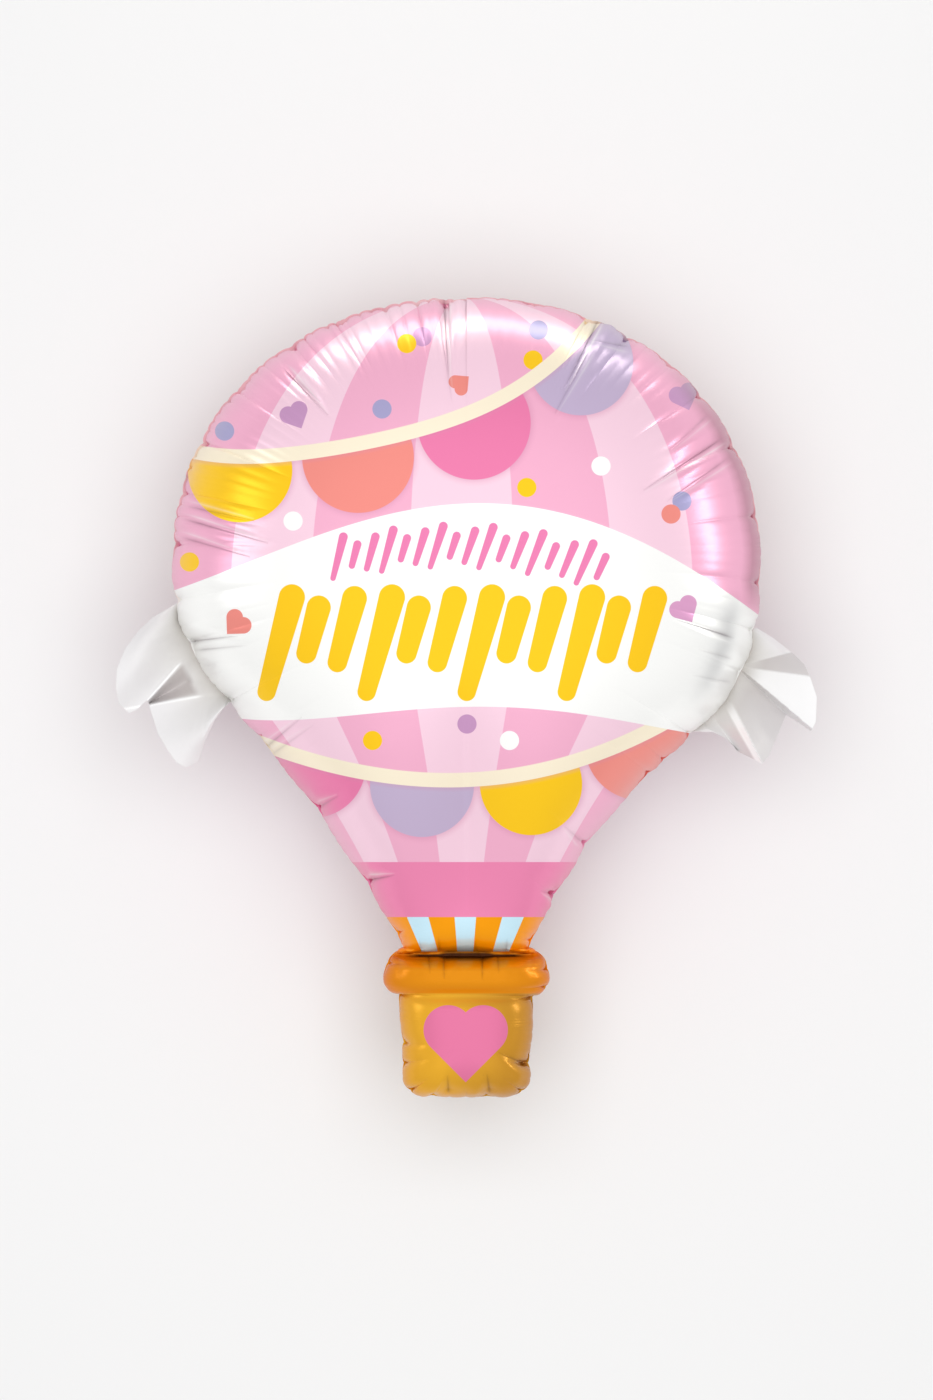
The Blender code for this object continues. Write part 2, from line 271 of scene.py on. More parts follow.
    @cached_property
    def shares(self) -> Array:
        """Each column's place on the edge: 0 at the crown, 1 at the mouth, 2 at the middle of the foot.

        Both sides use the same places, which crowd together as a bell curve round every notch.

        Returns:
            Rising places from 0 to 2.
        """
        place = np.linspace(0, 2, self.place_points)
        density = np.ones_like(place)
        for side in Side:
            first, second = self.part_lengths(side)
            for length in self.notch_lengths(side):
                on_flank = length < first
                at = length / first if on_flank else 1 + (length - first) / second
                gap = (place - at) * (first if on_flank else second)
                density += self.crowding * np.exp(-((gap / self.crowding_width) ** 2))
        parts = []
        for low, count in ((0, self.envelope_steps), (1, self.basket_steps)):
            inside = (place >= low) & (place <= low + 1)
            total = np.concatenate([[0], np.cumsum((density[inside][1:] + density[inside][:-1]) / 2)])
            parts.append(np.interp(np.linspace(0, total[-1], count + 1), total, place[inside]))
        return np.concatenate([parts[0], parts[1][1:]])

    def columns(self, side: Side) -> Array:
        """The length along one side's edge at each of the grid's columns."""
        first, second = self.part_lengths(side)
        return np.where(self.shares < 1, self.shares * first, first + (self.shares - 1) * second)

    def edge(self, side: Side) -> Array:
        """The whole edge on one side, mirrored to the right, at the grid's columns."""
        return at_lengths(self.line(side), self.columns(side))

    def seam_widths(self, side: Side) -> Array:
        """How much of the flange shows at each column: all of it on the upper left, less elsewhere.

        Further down the foil pulls the flange round, so that it curls under the body.

        Args:
            side: Which half of the balloon.

        Returns:
            One width for each column.
        """
        full = self.seam_width * (1 if side is Side.LEFT else self.right_seam_share)
        upper = smooth_step(self.edge(side)[:, 1], *self.curl_heights)
        return self.curled_seam_width + (full - self.curled_seam_width) * upper

    def spine(self) -> Array:
        """Where each column's spoke starts on the middle line.

        The crown's spokes all start at the envelope's centre. Down the flank the start slides to the
        waist with a power of the share of the way down, and round the foot it stays at one point.

        Returns:
            The starts, as rows of x and y.
        """
        mean_y = (self.edge(Side.LEFT)[:, 1] + self.edge(Side.RIGHT)[:, 1]) / 2
        share = np.clip((self.widest_y - mean_y) / (self.widest_y - self.waist_y), 0, 1)
        slide = self.widest_y - (self.widest_y - self.waist_y) * share**self.spine_sweep
        start = np.maximum(np.where(mean_y > self.waist_y, slide, mean_y), self.basket_centre_y)
        return np.stack([np.zeros(len(start)), start], axis=1)

    def half_width_at(self, y: Array) -> Array:
        """Half the envelope's mean width at given heights."""
        edge = (self.envelope(Side.LEFT) + self.envelope(Side.RIGHT)) / 2
        return np.interp(-y, -edge[:, 1], edge[:, 0])


@dataclass
class Depths:
    """Half the balloon's thickness over the middle line, and the profile from there to the seam."""

    outline: Outline
    envelope: float = 0.195
    neck: float = 0.066
    waist: float = 0.014
    rim: float = 0.054
    basket: float = 0.058
    groove: float = 0.009
    groove_width: float = 0.010
    mouth_rounding: float = 0.050
    rim_rounding: float = 0.016
    neck_sweep: float = 2.1
    plateau: float = 0.070
    flat_spot: float = 0.0015
    seam_thickness: float = 0.0012
    eye_height: float = 5.5
    eye_y: float = -0.0038

    @property
    def seam_z(self) -> float:
        """The height of the seam's plane over the floor."""
        return self.seam_thickness / 2 + self.envelope - self.flat_spot

    def flattened(self, points: Array) -> Array:
        """Where each point's print lies in the seam's plane.

        The film was printed flat, so where it stands up towards the crown of the curve its print
        spreads: its distance from the middle grows with the height over the seam.

        Args:
            points: In any layout that ends in x, y and z.

        Returns:
            The places, in the same layout ending in x and y.
        """
        middle = np.array([0, self.eye_y])
        spread = self.eye_height / (self.eye_height - (points[..., 2:] - self.seam_z))
        return middle + (points[..., :2] - middle) * spread

    def over_spine(self, y: Array) -> Array:
        """Half the thickness at heights on the middle line.

        The envelope keeps its depth over a plateau, then falls as a power of one less the share of
        the way squared, and closes round the mouth. The basket opens from the waist as a quarter of
        an ellipse and has a shallow groove below its rim.

        Args:
            y: The heights.

        Returns:
            Half the thickness at each.
        """
        plan = self.outline
        bulb_start = plan.widest_y - self.plateau
        along = np.clip((bulb_start - y) / (bulb_start - plan.mouth_y), 0, 1)
        bulb = self.neck + (self.envelope - self.neck) * (1 - along**2) ** self.neck_sweep
        closing = np.clip((plan.mouth_y + self.mouth_rounding - y) / self.mouth_rounding, 0, 1)
        bulb = self.waist + (bulb - self.waist) * np.sqrt(1 - closing**3)
        opening = np.clip((y - plan.rim_y + self.rim_rounding) / self.rim_rounding, 0, 1)
        to_body = np.clip((plan.basket_y - y) / (plan.basket_y - plan.basket_centre_y), 0, 1)
        basket = self.rim + (self.basket - self.rim) * to_body
        basket = basket - self.groove * np.exp(-(((y - plan.basket_y) / self.groove_width) ** 2))
        basket = self.waist + (basket - self.waist) * np.sqrt(1 - opening**2)
        return np.where(y > plan.rim_y, bulb, basket)


@dataclass(frozen=True)
class PinchSizes:
    """The sizes that the pinches of one row share.

    They are the pull on the seam in plan, the depth of the folds, the swell between two of them and
    how far in it goes, and the width of a fold at the seam and what it gains for each metre inwards.
    """

    pull: float
    valley: float
    bulge: float
    bulge_reach: float
    width: float
    widening: float
    edge_power: float = 0.55
    fade_power: float = 1.2
    crest_power: float = 0.7
    least_crest: float = 0.4


DEEP_PINCHES = PinchSizes(pull=0.0046, valley=0.0066, bulge=0.0050, bulge_reach=0.026, width=0.0016,
                          widening=0.050)
FINE_PINCHES = PinchSizes(pull=0.0032, valley=0.0030, bulge=0.0014, bulge_reach=0.014, width=0.0014,
                          widening=0.040)


@dataclass
class PinchRow:
    """A row of pinches along one side of the seam, and the folds that run in from them.

    Each pinch has a length along the edge, a strength from 0 to 1, a reach, and a lean: how far its
    fold drifts along the seam on its way in, as a share.
    """

    places: Array
    strengths: Array
    reaches: Array
    leans: Array
    sizes: PinchSizes

    def _phase(self, along: Array) -> tuple[Array, Array]:
        """How far each place is from one pinch to the next, from 0 to 1, and the strength there."""
        phase = np.interp(along, self.places, np.arange(len(self.places)))
        return phase - np.floor(phase), np.interp(along, self.places, self.strengths)

    def pull(self, along: Array) -> Array:
        """How far the seam is drawn in, in plan.

        Between two pinches the edge bulges back out as a power of a half sine wave.
        """
        phase, strength = self._phase(along)
        return self.sizes.pull * strength * (1 - np.abs(np.sin(math.pi * phase)) ** self.sizes.edge_power)

    def relief(self, along: Array, inward: Array) -> Array:
        """The height of the folds over the smooth body, along its normal.

        Each pinch runs inward as a sharp valley, whose depth falls off exponentially to both sides
        over a width that grows with the distance from the seam, and fades out at its own reach.
        Between the valleys the foil bulges as a power of a half sine wave.

        Args:
            along: The length along the edge, one for each column.
            inward: Each grid point's distance from the seam over the surface, rows by columns.

        Returns:
            The heights, rows by columns.
        """
        sizes = self.sizes
        height = np.zeros_like(inward)
        width = sizes.width + sizes.widening * inward
        for place, strength, reach, lean in zip(self.places, self.strengths, self.reaches, self.leans):
            aside = np.abs(along[None, :] - place - lean * inward) / width
            fade = np.clip(1 - inward / reach, 0, 1) ** sizes.fade_power
            height -= sizes.valley * strength * np.exp(-aside) * fade
        phase, strength = self._phase(along)
        swell = sizes.least_crest + (1 - sizes.least_crest) * strength
        crest = np.abs(np.sin(math.pi * phase)) ** sizes.crest_power * swell
        return height + sizes.bulge * crest[None, :] * np.exp(-inward / sizes.bulge_reach)


@dataclass
class Gathers:
    """The deep pinches that inflating leaves along the seam, and a row of fine ones between them.

    A spread is a least value and what chance adds to it.
    """

    outline: Outline
    calm_share: float = 0.8
    calm_shift: float = 0.008
    calm_width: float = 0.018
    blank_gap: float = 0.02
    blank_reach: float = 0.02
    blank_strength: float = 0.3
    fine_pitch: float = 0.0175
    fine_fade_y: float = 0.220
    fine_fade: float = 0.06
    fine_share: float = 0.22
    fine_gain_left: float = 0.78
    fine_gain_right: float = 0.25
    gap_spread: Pair = (0.7, 0.6)
    strength_spread: Pair = (0.4, 0.6)
    reach_spread: Pair = (0.018, 0.034)
    reach_power: float = 1.5
    lean: float = 0.3
    seam_fade: float = 0.0035
    seed: int = 7

    def _calm(self, side: Side, places: Array) -> Array:
        """What is left of a pinch's strength: a fifth at the waist, all of it away from there."""
        waist = self.outline.part_lengths(side)[0] + self.calm_shift
        return 1 - self.calm_share * np.exp(-(((places - waist) / self.calm_width) ** 2))

    def deep(self, side: Side) -> PinchRow:
        """The row of named notches of one side, with a blank one past each end.

        Args:
            side: Which half of the balloon.

        Returns:
            The row, with its folds running straight in.
        """
        notches = NOTCHES[side]
        end = sum(self.outline.part_lengths(side))
        places = np.array([-self.blank_gap, *self.outline.notch_lengths(side), end + self.blank_gap])
        strengths, reaches = (
            np.array([blank, *(getattr(notch, name) for notch in notches), blank])
            for name, blank in (("strength", self.blank_strength), ("reach", self.blank_reach)))
        return PinchRow(places, strengths * self._calm(side, places), reaches, np.zeros(len(places)),
                        DEEP_PINCHES)

    def fine(self, side: Side) -> PinchRow:
        """The row of fine pinches: strong over the upper left, faint elsewhere.

        Args:
            side: Which half of the balloon.

        Returns:
            The row, with places, strengths, reaches and leans by chance.
        """
        chance = np.random.default_rng(self.seed + side.value)
        end = sum(self.outline.part_lengths(side))
        count = round(end / self.fine_pitch)
        gaps = self.gap_spread[0] + self.gap_spread[1] * chance.random(count)
        places = np.cumsum(gaps) / gaps.sum() * end
        heights = at_lengths(self.outline.line(side), places)[:, 1]
        upper = smooth_step(heights, self.fine_fade_y - self.fine_fade, self.fine_fade_y)
        gain = self.fine_gain_left if side is Side.LEFT else self.fine_gain_right
        least, more = self.strength_spread
        strengths = (self.fine_share + gain * upper) * (least + more * chance.random(count))
        shortest, longer = self.reach_spread
        reaches = shortest + longer * chance.random(count) ** self.reach_power
        leans = self.lean * (chance.random(count) - 0.5)
        return PinchRow(places, strengths * self._calm(side, places), reaches, leans, FINE_PINCHES)

    def seam_pull(self, side: Side) -> Array:
        """How far each column's end is drawn in, in plan."""
        along = self.outline.columns(side)
        return self.deep(side).pull(along) + self.fine(side).pull(along)

    def relief(self, side: Side, inward: Array) -> Array:
        """The height of all folds over the smooth body, along its normal, closed at the seam.

        Args:
            side: Which half of the balloon.
            inward: Each grid point's distance from the seam over the surface, rows by columns.

        Returns:
            The heights, in the same layout.
        """
        along = self.outline.columns(side)
        height = self.deep(side).relief(along, inward) + self.fine(side).relief(along, inward)
        return height * (1 - np.exp(-inward / self.seam_fade))


@dataclass(frozen=True)
class Crease:
    """One long sharp fold in the front foil, from its outer end to its inner end.

    The wedge is what distances from its line are divided by at the outer end, and by how much less
    at the inner one. The ridge beside it has a share of its depth, and a place and a width in
    widths of the fold.
    """

    outer: Pair
    inner: Pair
    strength: float = 1.0
    depth: float = 0.0050
    width: float = 0.0034
    fade_power: float = 0.6
    start: Pair = (-0.20, 0.08)
    wedge: Pair = (1.9, 1.3)
    ridge_share: float = 0.6
    ridge_place: float = 2.6
    ridge_width: float = 1.4

    @property
    def length(self) -> float:
        """How long the fold is."""
        return math.dist(self.outer, self.inner)

    @property
    def heading(self) -> float:
        """The way that the fold runs inwards, as an angle from the X axis."""
        return math.atan2(self.inner[1] - self.outer[1], self.inner[0] - self.outer[0])

    def local(self, place: Array) -> tuple[Array, Array]:
        """How far places lie to one side of the fold, and its strength at them.

        The strength fades towards the inner end and past the outer one. The fold is a wedge, so the
        distance counts for less at its outer end and for more at its inner one.

        Args:
            place: Print places, in any layout that ends in x and y.

        Returns:
            The signed distances in metres and the strengths, in the layout without its last axis.
        """
        ahead = np.array([math.cos(self.heading), math.sin(self.heading)])
        from_outer = place - np.array(self.outer)
        along = from_outer @ ahead / self.length
        aside = from_outer @ np.array([-ahead[1], ahead[0]])
        share = np.clip(along, 0, 1)
        fade = (1 - share) ** self.fade_power * smooth_step(along, *self.start)
        return aside / (self.wedge[0] - self.wedge[1] * share), self.strength * fade

    def relief(self, place: Array) -> Array:
        """The fold's height: an exponential valley with a low ridge beside it.

        Args:
            place: Print places, in any layout that ends in x and y.

        Returns:
            The heights, in the layout without its last axis.
        """
        aside, strength = self.local(place)
        valley = -np.exp(-np.abs(aside) / self.width)
        beside = (aside - self.ridge_place * self.width) / (self.ridge_width * self.width)
        return self.depth * strength * (valley + self.ridge_share * np.exp(-(beside**2)))

    def gap_to(self, other: "Crease") -> float:
        """The shortest distance between this fold's line and another's, at some points of each.

        Args:
            other: The other fold.

        Returns:
            The distance in metres.
        """
        steps = np.linspace(0, 1, GAP_POINTS)[:, None]
        mine, theirs = (np.array(fold.outer) * (1 - steps) + np.array(fold.inner) * steps
                        for fold in (self, other))
        return float(np.min(np.hypot(*(mine[:, None] - theirs[None]).transpose(2, 0, 1))))


FRONT_CREASES = tuple(Crease(*row) for row in (
    ((-0.028, 0.497), (-0.022, 0.395), 1.0), ((-0.033, 0.470), (-0.018, 0.372), 0.5),
    ((-0.224, 0.409), (-0.171, 0.352), 0.9), ((-0.212, 0.400), (-0.182, 0.371), 0.5),
    ((0.164, 0.472), (0.120, 0.383), 1.0), ((0.150, 0.430), (0.108, 0.352), 0.6),
    ((0.200, 0.446), (0.152, 0.454), 0.5), ((0.312, 0.320), (0.220, 0.259), 1.0),
    ((0.322, 0.296), (0.250, 0.245), 0.6), ((0.300, 0.352), (0.255, 0.310), 0.5),
    ((-0.345, 0.222), (-0.243, 0.193), 0.8), ((-0.352, 0.200), (-0.268, 0.176), 0.7),
    ((-0.345, 0.240), (-0.262, 0.222), 0.6), ((-0.347, 0.071), (-0.288, 0.078), 0.9),
    ((-0.337, 0.060), (-0.275, 0.066), 0.6), ((0.330, 0.078), (0.266, 0.099), 1.0, 0.0024, 0.0022),
    ((0.332, 0.050), (0.290, 0.062), 0.4), ((0.330, 0.020), (0.285, 0.028), 0.4),
    ((-0.250, -0.060), (-0.205, -0.022), 0.6), ((-0.243, -0.070), (-0.192, -0.034), 0.4),
    ((-0.184, -0.138), (-0.160, -0.124), 0.6), ((-0.120, -0.232), (-0.090, -0.226), 0.9),
    ((0.144, -0.182), (0.122, -0.162), 0.5), ((0.109, -0.250), (0.094, -0.246), 0.7),
    ((-0.023, -0.500), (-0.024, -0.480), 0.8), ((0.029, -0.500), (0.026, -0.478), 0.8),
    ((0.074, -0.466), (0.038, -0.450), 0.8), ((-0.048, -0.331), (-0.046, -0.352), 0.6, 0.0020),
    ((-0.029, -0.331), (-0.028, -0.360), 0.8, 0.0026), ((0.020, -0.331), (0.020, -0.360), 0.8, 0.0026),
    ((0.040, -0.331), (0.041, -0.352), 0.6, 0.0020), ((-0.058, -0.322), (-0.060, -0.306), 0.5, 0.0020),
    ((-0.034, -0.322), (-0.036, -0.304), 0.6, 0.0024), ((0.012, -0.322), (0.012, -0.308), 0.5, 0.0020),
    ((0.050, -0.322), (0.052, -0.306), 0.6, 0.0022),
))
GAP_POINTS = 12
FOLD_SPAN = 0.014
LAYER_GAP = 2.2 * FOLD_SPAN
SPAN_STEEPNESS = 1.4


def fold_layers() -> list[list[Crease]]:
    """Sorts the creases into layers, so that the spans round two folds of one layer never meet.

    Returns:
        The creases of each layer.
    """
    layers: list[list[Crease]] = []
    for crease in FRONT_CREASES:
        for layer in layers:
            if all(crease.gap_to(other) > LAYER_GAP for other in layer):
                layer.append(crease)
                break
        else:
            layers.append([crease])
    return layers


def nearest_fold(place: Array, layer: list[Crease]) -> tuple[Array, Array]:
    """The signed distance to the fold of one layer that counts at each place, and its strength.

    The strength falls to 0 at the span to each side, so the change from one fold to the next doesn't
    show.

    Args:
        place: Places in the seam's plane, as rows that start with x and y.
        layer: The layer's creases.

    Returns:
        The distances and the strengths, one for each place.
    """
    aside, strength = map(np.stack, zip(*(crease.local(place) for crease in layer)))
    strength = strength * np.clip(SPAN_STEEPNESS * (1 - np.abs(aside) / FOLD_SPAN), 0, 1)
    best = np.argmax(strength, axis=0)[None]
    return np.take_along_axis(aside, best, axis=0)[0], np.take_along_axis(strength, best, axis=0)[0]


@dataclass
class Surface:
    """Grid points with what the print and the finish need at each, before the grids are joined.

    The value of a point is 1 on the printed front and 0 on the back, or a tail's painted shade, below 0
    where it is a painted highlight.
    """

    points: list[Array] = field(default_factory=list)
    faces: list[Array] = field(default_factory=list)
    maps: list[Array] = field(default_factory=list)
    values: list[Array] = field(default_factory=list)
    count: int = 0

    def add(self, points: Array, maps: Array, values: Array, flip: bool) -> None:
        """Adds one grid.

        Args:
            points: Rows by columns by three.
            maps: Rows by columns by two: the place on the film, for its fine creases.
            values: Rows by columns: one number for the material.
            flip: Whether the faces turn the other way round.
        """
        rows, columns = points.shape[:2]
        row, column = np.meshgrid(np.arange(rows - 1), np.arange(columns - 1), indexing="ij")
        first = (row * columns + column).ravel() + self.count
        quads = np.stack([first, first + 1, first + columns + 1, first + columns], axis=1)
        self.faces.append(quads[:, ::-1] if flip else quads)
        self.points.append(points.reshape(-1, 3))
        self.maps.append(maps.reshape(-1, 2))
        self.values.append(values.ravel())
        self.count += rows * columns

    def build(self, name: str, sharp_angle: float) -> tuple[bpy.types.Object, Array, Array]:
        """Joins the grids where their points meet and makes one closed mesh.

        Args:
            name: The piece's name.
            sharp_angle: The angle between faces, in degrees, past which an edge is sharp.

        Returns:
            The object, its points, and the value at each of them.
        """
        points = np.concatenate(self.points)
        _, keep, index = np.unique(np.round(points, 6), axis=0, return_index=True, return_inverse=True)
        index = index.reshape(-1)
        loose = np.concatenate(self.faces)
        quads = index[loose]
        doubled = quads == np.roll(quads, -1, axis=1)
        whole = ~doubled.any(axis=1)
        pointed = doubled.sum(axis=1) == 1
        corner_order = (np.argmax(doubled[pointed], axis=1)[:, None] + np.arange(1, 4)) % 4
        triangles = np.take_along_axis(quads[pointed], corner_order, axis=1)
        loose_triangles = np.take_along_axis(loose[pointed], corner_order, axis=1)
        real = (triangles[:, 0] != triangles[:, 1]) & (triangles[:, 1] != triangles[:, 2])
        real &= triangles[:, 0] != triangles[:, 2]
        faces = quads[whole].tolist() + triangles[real].tolist()
        mesh = bpy.data.meshes.new(name)
        mesh.from_pydata(points[keep].tolist(), [], faces)
        film = mesh.uv_layers.new(name="film")
        corners = np.concatenate([loose[whole].ravel(), loose_triangles[real].ravel()])
        film.data.foreach_set("uv", np.concatenate(self.maps)[corners].astype(np.float32).ravel())
        mesh.shade_smooth()
        mesh.set_sharp_from_angle(angle=math.radians(sharp_angle))
        piece = bpy.data.objects.new(name, mesh)
        bpy.context.scene.collection.objects.link(piece)
        return piece, points[keep], np.concatenate(self.values)[keep]


def add_values(piece: bpy.types.Object, name: str, values: Array) -> None:
    """Stores one number at each point of a piece, under a name that its material reads."""
    layer = piece.data.attributes.new(name, "FLOAT", "POINT")
    layer.data.foreach_set("value", values.astype(np.float32))


def add_vectors(piece: bpy.types.Object, name: str, values: Array) -> None:
    """Stores three numbers at each point of a piece, under a name that its material reads."""
    layer = piece.data.attributes.new(name, "FLOAT_VECTOR", "POINT")
    layer.data.foreach_set("vector", values.astype(np.float32).ravel())


@dataclass(frozen=True)
class Pleats:
    """The short folds that run up and down from the waist, over the mouth and over the rim.

    The first pitch and reach hold above the waist, and the second ones below it.
    """

    height: float = 0.0042
    pitches: Pair = (0.021, 0.024)
    reaches: Pair = (0.045, 0.040)
    fade_power: float = 1.4
    sharpness: float = 0.7
    level: float = 0.8
    shift: float = 0.31
    panel_shift: float = 0.25
    uneven_share: float = 0.3
    uneven_rate: float = 61
    uneven_shift: float = 1.3

    def relief(self, x: Array, over_waist: Array, panel: Panel) -> Array:
        """Their height over the smooth foil.

        They are powers of half sine waves across the balloon, with a sharp valley between two of
        them, and fade out away from the waist.

        Args:
            x: Places across the balloon.
            over_waist: Their heights over the waist.
            panel: Which of the two foil panels.

        Returns:
            The heights, in the same layout.
        """
        above = over_waist > 0
        away = np.abs(over_waist) / np.where(above, *self.reaches)
        fade = (1 - np.clip(away, 0, 1)) ** self.fade_power
        phase = x / np.where(above, *self.pitches) + self.shift + self.panel_shift * panel.value
        wave = np.abs(np.sin(math.pi * phase)) ** self.sharpness
        uneven = 1 - self.uneven_share * (1 - np.sin(self.uneven_rate * x + self.uneven_shift))
        return self.height * (wave - self.level) * uneven * fade


@dataclass
class BalloonBody:
    """The inflated body: the two foil panels and the flange where they are sealed."""

    outline: Outline
    depths: Depths
    gathers: Gathers
    pleats: Pleats = Pleats()
    front_rings: int = 44
    back_rings: int = 20
    ring_power: float = 1.45
    profile_points: int = 2000
    hold: float = 0.35
    relief_fade: float = 0.004
    pleat_fade: float = 0.012
    centre_calm: Pair = (0.08, 0.25)
    flange_wave: float = 0.0007
    flange_wave_rate: float = 240
    flange_drift: float = 3
    flange_drift_rate: float = 31
    sharp_angle: float = 50

    def spokes(self, side: Side) -> tuple[Array, Array, Array, Array]:
        """The spokes' starts, directions, lengths to the seam's inner line, and the seam's pull.

        Args:
            side: Which half of the balloon.

        Returns:
            Rows of x and y for the starts and the directions, then both lengths.
        """
        edge = self.outline.edge(side)
        starts = self.outline.spine()
        arms = edge - starts
        lengths = np.hypot(*arms.T)
        arms = arms / lengths[:, None]
        return starts, arms, lengths - self.outline.seam_widths(side), self.gathers.seam_pull(side)

    def seam_lines(self, side: Side) -> tuple[Array, Array]:
        """The seam's inner and outer line in plan, mirrored to the right.

        Args:
            side: Which half of the balloon.

        Returns:
            The points of each line, as rows of x and y.
        """
        starts, arms, lengths, pulls = self.spokes(side)
        inner = starts + arms * (lengths - pulls)[:, None]
        return inner, inner + arms * self.outline.seam_widths(side)[:, None]

    def _angles(self, rings: int) -> Array:
        """The profile angles of the rings, closer together towards the seam.

        Over the smooth profile of the envelope, the length from the seam to ring k is the whole
        length times a power of k's share.

        Args:
            rings: How many steps the spokes are cut into.

        Returns:
            The angles, from 0 at the middle line to a quarter turn at the seam.
        """
        angle = np.linspace(0, math.pi / 2, self.profile_points)
        across = self.outline.half_width * np.sin(angle) ** PROFILE_POWER
        length = line_length(np.stack([across, self.depths.envelope * np.cos(angle)], axis=1))
        wanted = length[-1] * (1 - np.linspace(1, 0, rings + 1) ** self.ring_power)
        return np.interp(wanted, length, angle)

    def _panel(self, side: Side, panel: Panel, rings: int) -> tuple[Array, Array]:
        """One half of one panel, from the middle line out to the seam's inner line.

        A spoke's height over the seam is its depth times the cosine of the ring's angle, where its
        share of the way out is the sine to the power 2/3. That is the profile of two round sheets
        sealed together and inflated: the square root of one less the cube of the share.

        Args:
            side: Which half of the balloon.
            panel: Which of the two foil panels.
            rings: How many steps the spokes are cut into.

        Returns:
            The points, rings by columns by three, and their distance from the seam over the surface.
        """
        starts, arms, lengths, pulls = self.spokes(side)
        depth = self.depths.over_spine(starts[:, 1])
        angle = self._angles(rings)[:, None]
        share = np.sin(angle) ** PROFILE_POWER
        held = np.clip((share - 1 + self.hold) / self.hold, 0, 1)
        out = lengths * share - pulls * held
        plan = starts[None] + arms[None] * out[:, :, None]
        height = self.depths.seam_thickness / 2 + np.cos(angle) * (depth - pulls * held)
        base = np.dstack([plan, self.depths.seam_z + panel.value * height])
        steps = np.sqrt((np.diff(base, axis=0) ** 2).sum(axis=2))
        inward = np.concatenate([np.cumsum(steps[::-1], axis=0)[::-1], np.zeros((1, base.shape[1]))])
        normal = self._normals(base, panel)
        relief = self.gathers.relief(side, inward)
        if panel is Panel.FRONT:
            place = self.depths.flattened(base) * np.array([side.value, 1])
            for crease in FRONT_CREASES:
                relief = relief + crease.relief(place)
        relief = relief * smooth_step(inward, 0, self.relief_fade) * smooth_step(share, *self.centre_calm)
        points = base + normal * relief[:, :, None]
        over_waist = base[:, :, 1] - self.outline.waist_y
        pleats = self.pleats.relief(base[:, :, 0] * side.value, over_waist, panel)
        points[:, :, 2] += panel.value * pleats * smooth_step(inward, 0, self.pleat_fade)
        points[:, :, 2] = np.maximum(points[:, :, 2], 0)
        return points, inward

    @staticmethod
    def _normals(base: Array, panel: Panel) -> Array:
        """The outward normal at each grid point: the cross product of the two ways along the grid.

        Args:
            base: The smooth panel's points.
            panel: Which panel it is.

        Returns:
            Vectors of length 1, in the same layout.
        """
        across = np.gradient(base, axis=0)
        along = np.gradient(base, axis=1)
        normal = np.cross(across, along)
        size = np.sqrt((normal**2).sum(axis=2, keepdims=True))
        normal = normal / np.maximum(size, NO_AREA)
        upright = np.where(normal[:, :, 2:] * panel.value < 0, -1.0, 1.0)
        normal = normal * upright
        return np.where(size < NO_AREA, np.array([0.0, 0.0, float(panel.value)]), normal)

    def build(self) -> tuple[bpy.types.Object, Array, Array]:
        """Makes the body's mesh.

        The film map holds the length along the edge and the distance from the seam. That distance
        is below 0 on the flange, and goes on downwards over the back.

        Returns:
            The object, its points, and 1 or 0 for the front or the back at each of them.
        """
        surface = Surface()
        for side in Side:
            front, front_in = self._panel(side, Panel.FRONT, self.front_rings)
            back, back_in = self._panel(side, Panel.BACK, self.back_rings)
            _, outer = self.seam_lines(side)
            along = self.outline.columns(side)
            drift = self.flange_drift * np.sin(along * self.flange_drift_rate)
            lift = self.flange_wave * np.sin(along * self.flange_wave_rate + drift)
            half = self.depths.seam_thickness / 2
            rim = np.stack([np.column_stack([outer, self.depths.seam_z + lift + up * half])
                            for up in (1, -1)])
            rows = np.concatenate([front, rim, back[::-1]])
            rows[:, :, 0] *= side.value
            inward = np.concatenate([front_in, np.full((2, len(along)), FLANGE_MAP),
                                     2 * FLANGE_MAP - back_in[::-1]])
            maps = np.dstack([np.broadcast_to(along * side.value, inward.shape), inward])
            facing = np.concatenate([np.ones(len(front) + 1), np.zeros(len(back) + 1)])
            fronts = np.broadcast_to(facing[:, None], inward.shape)
            surface.add(rows, maps, fronts, side is Side.RIGHT)
        return surface.build("balloon_body", self.sharp_angle)


class Ink(Enum):
    """The print's inks, painted shade and highlight colours, the film's tones and the floor's, as colour
    codes.
    """

    LIGHT_PINK = "FAD4E5"
    MID_PINK = "F5B3CF"
    HOT_PINK = "EE80AE"
    BAND_PINK = "F28BB5"
    CORAL = "F39187"
    YELLOW = "FFCC1C"
    LAVENDER = "C6B4D2"
    PURPLE = "CA99C4"
    ORCHID = "DFA3CB"
    BLUE = "ABA6CF"
    WHITE = "FEFEFC"
    CREAM = "FDF1D8"
    ORANGE = "FBA000"
    SKY = "D0F1FF"
    RIM_ORANGE = "E68F08"
    GOLD = "E9AD2B"
    DEEP_GOLD = "CE9329"
    HEART_PINK = "E67AA4"
    SHADE = "D58FB0"
    STROKE_PINK = "EE82B4"
    FOLD = "A59CA1"
    WAIST_SHADE = "5A4A33"
    FLANGE = "E6C0B2"
    TURNED_AWAY = "CFC0C4"
    BANNER_SHADE = "DBDBDC"
    PEARL = "EAE9EA"
    GREY_PEARL = "DDDBDD"
    BEIGE = "DFDBD2"
    DUSK = "B7A8A4"
    GLEAM = "FEFEFE"
    FLOOR = "E9E9E9"

    @property
    def colour(self) -> Colour:
        """The linear colour."""
        return ink(self.value)


class Shape(Enum):
    """The small printed shapes."""

    DOT = "dot"
    HEART = "heart"


@dataclass(frozen=True)
class Motif:
    """One small printed shape: its middle, its radius or half its width, its ink and its tilt."""

    shape: Shape
    middle: Pair
    size: float
    paint: Ink
    tilt: float = 0.0


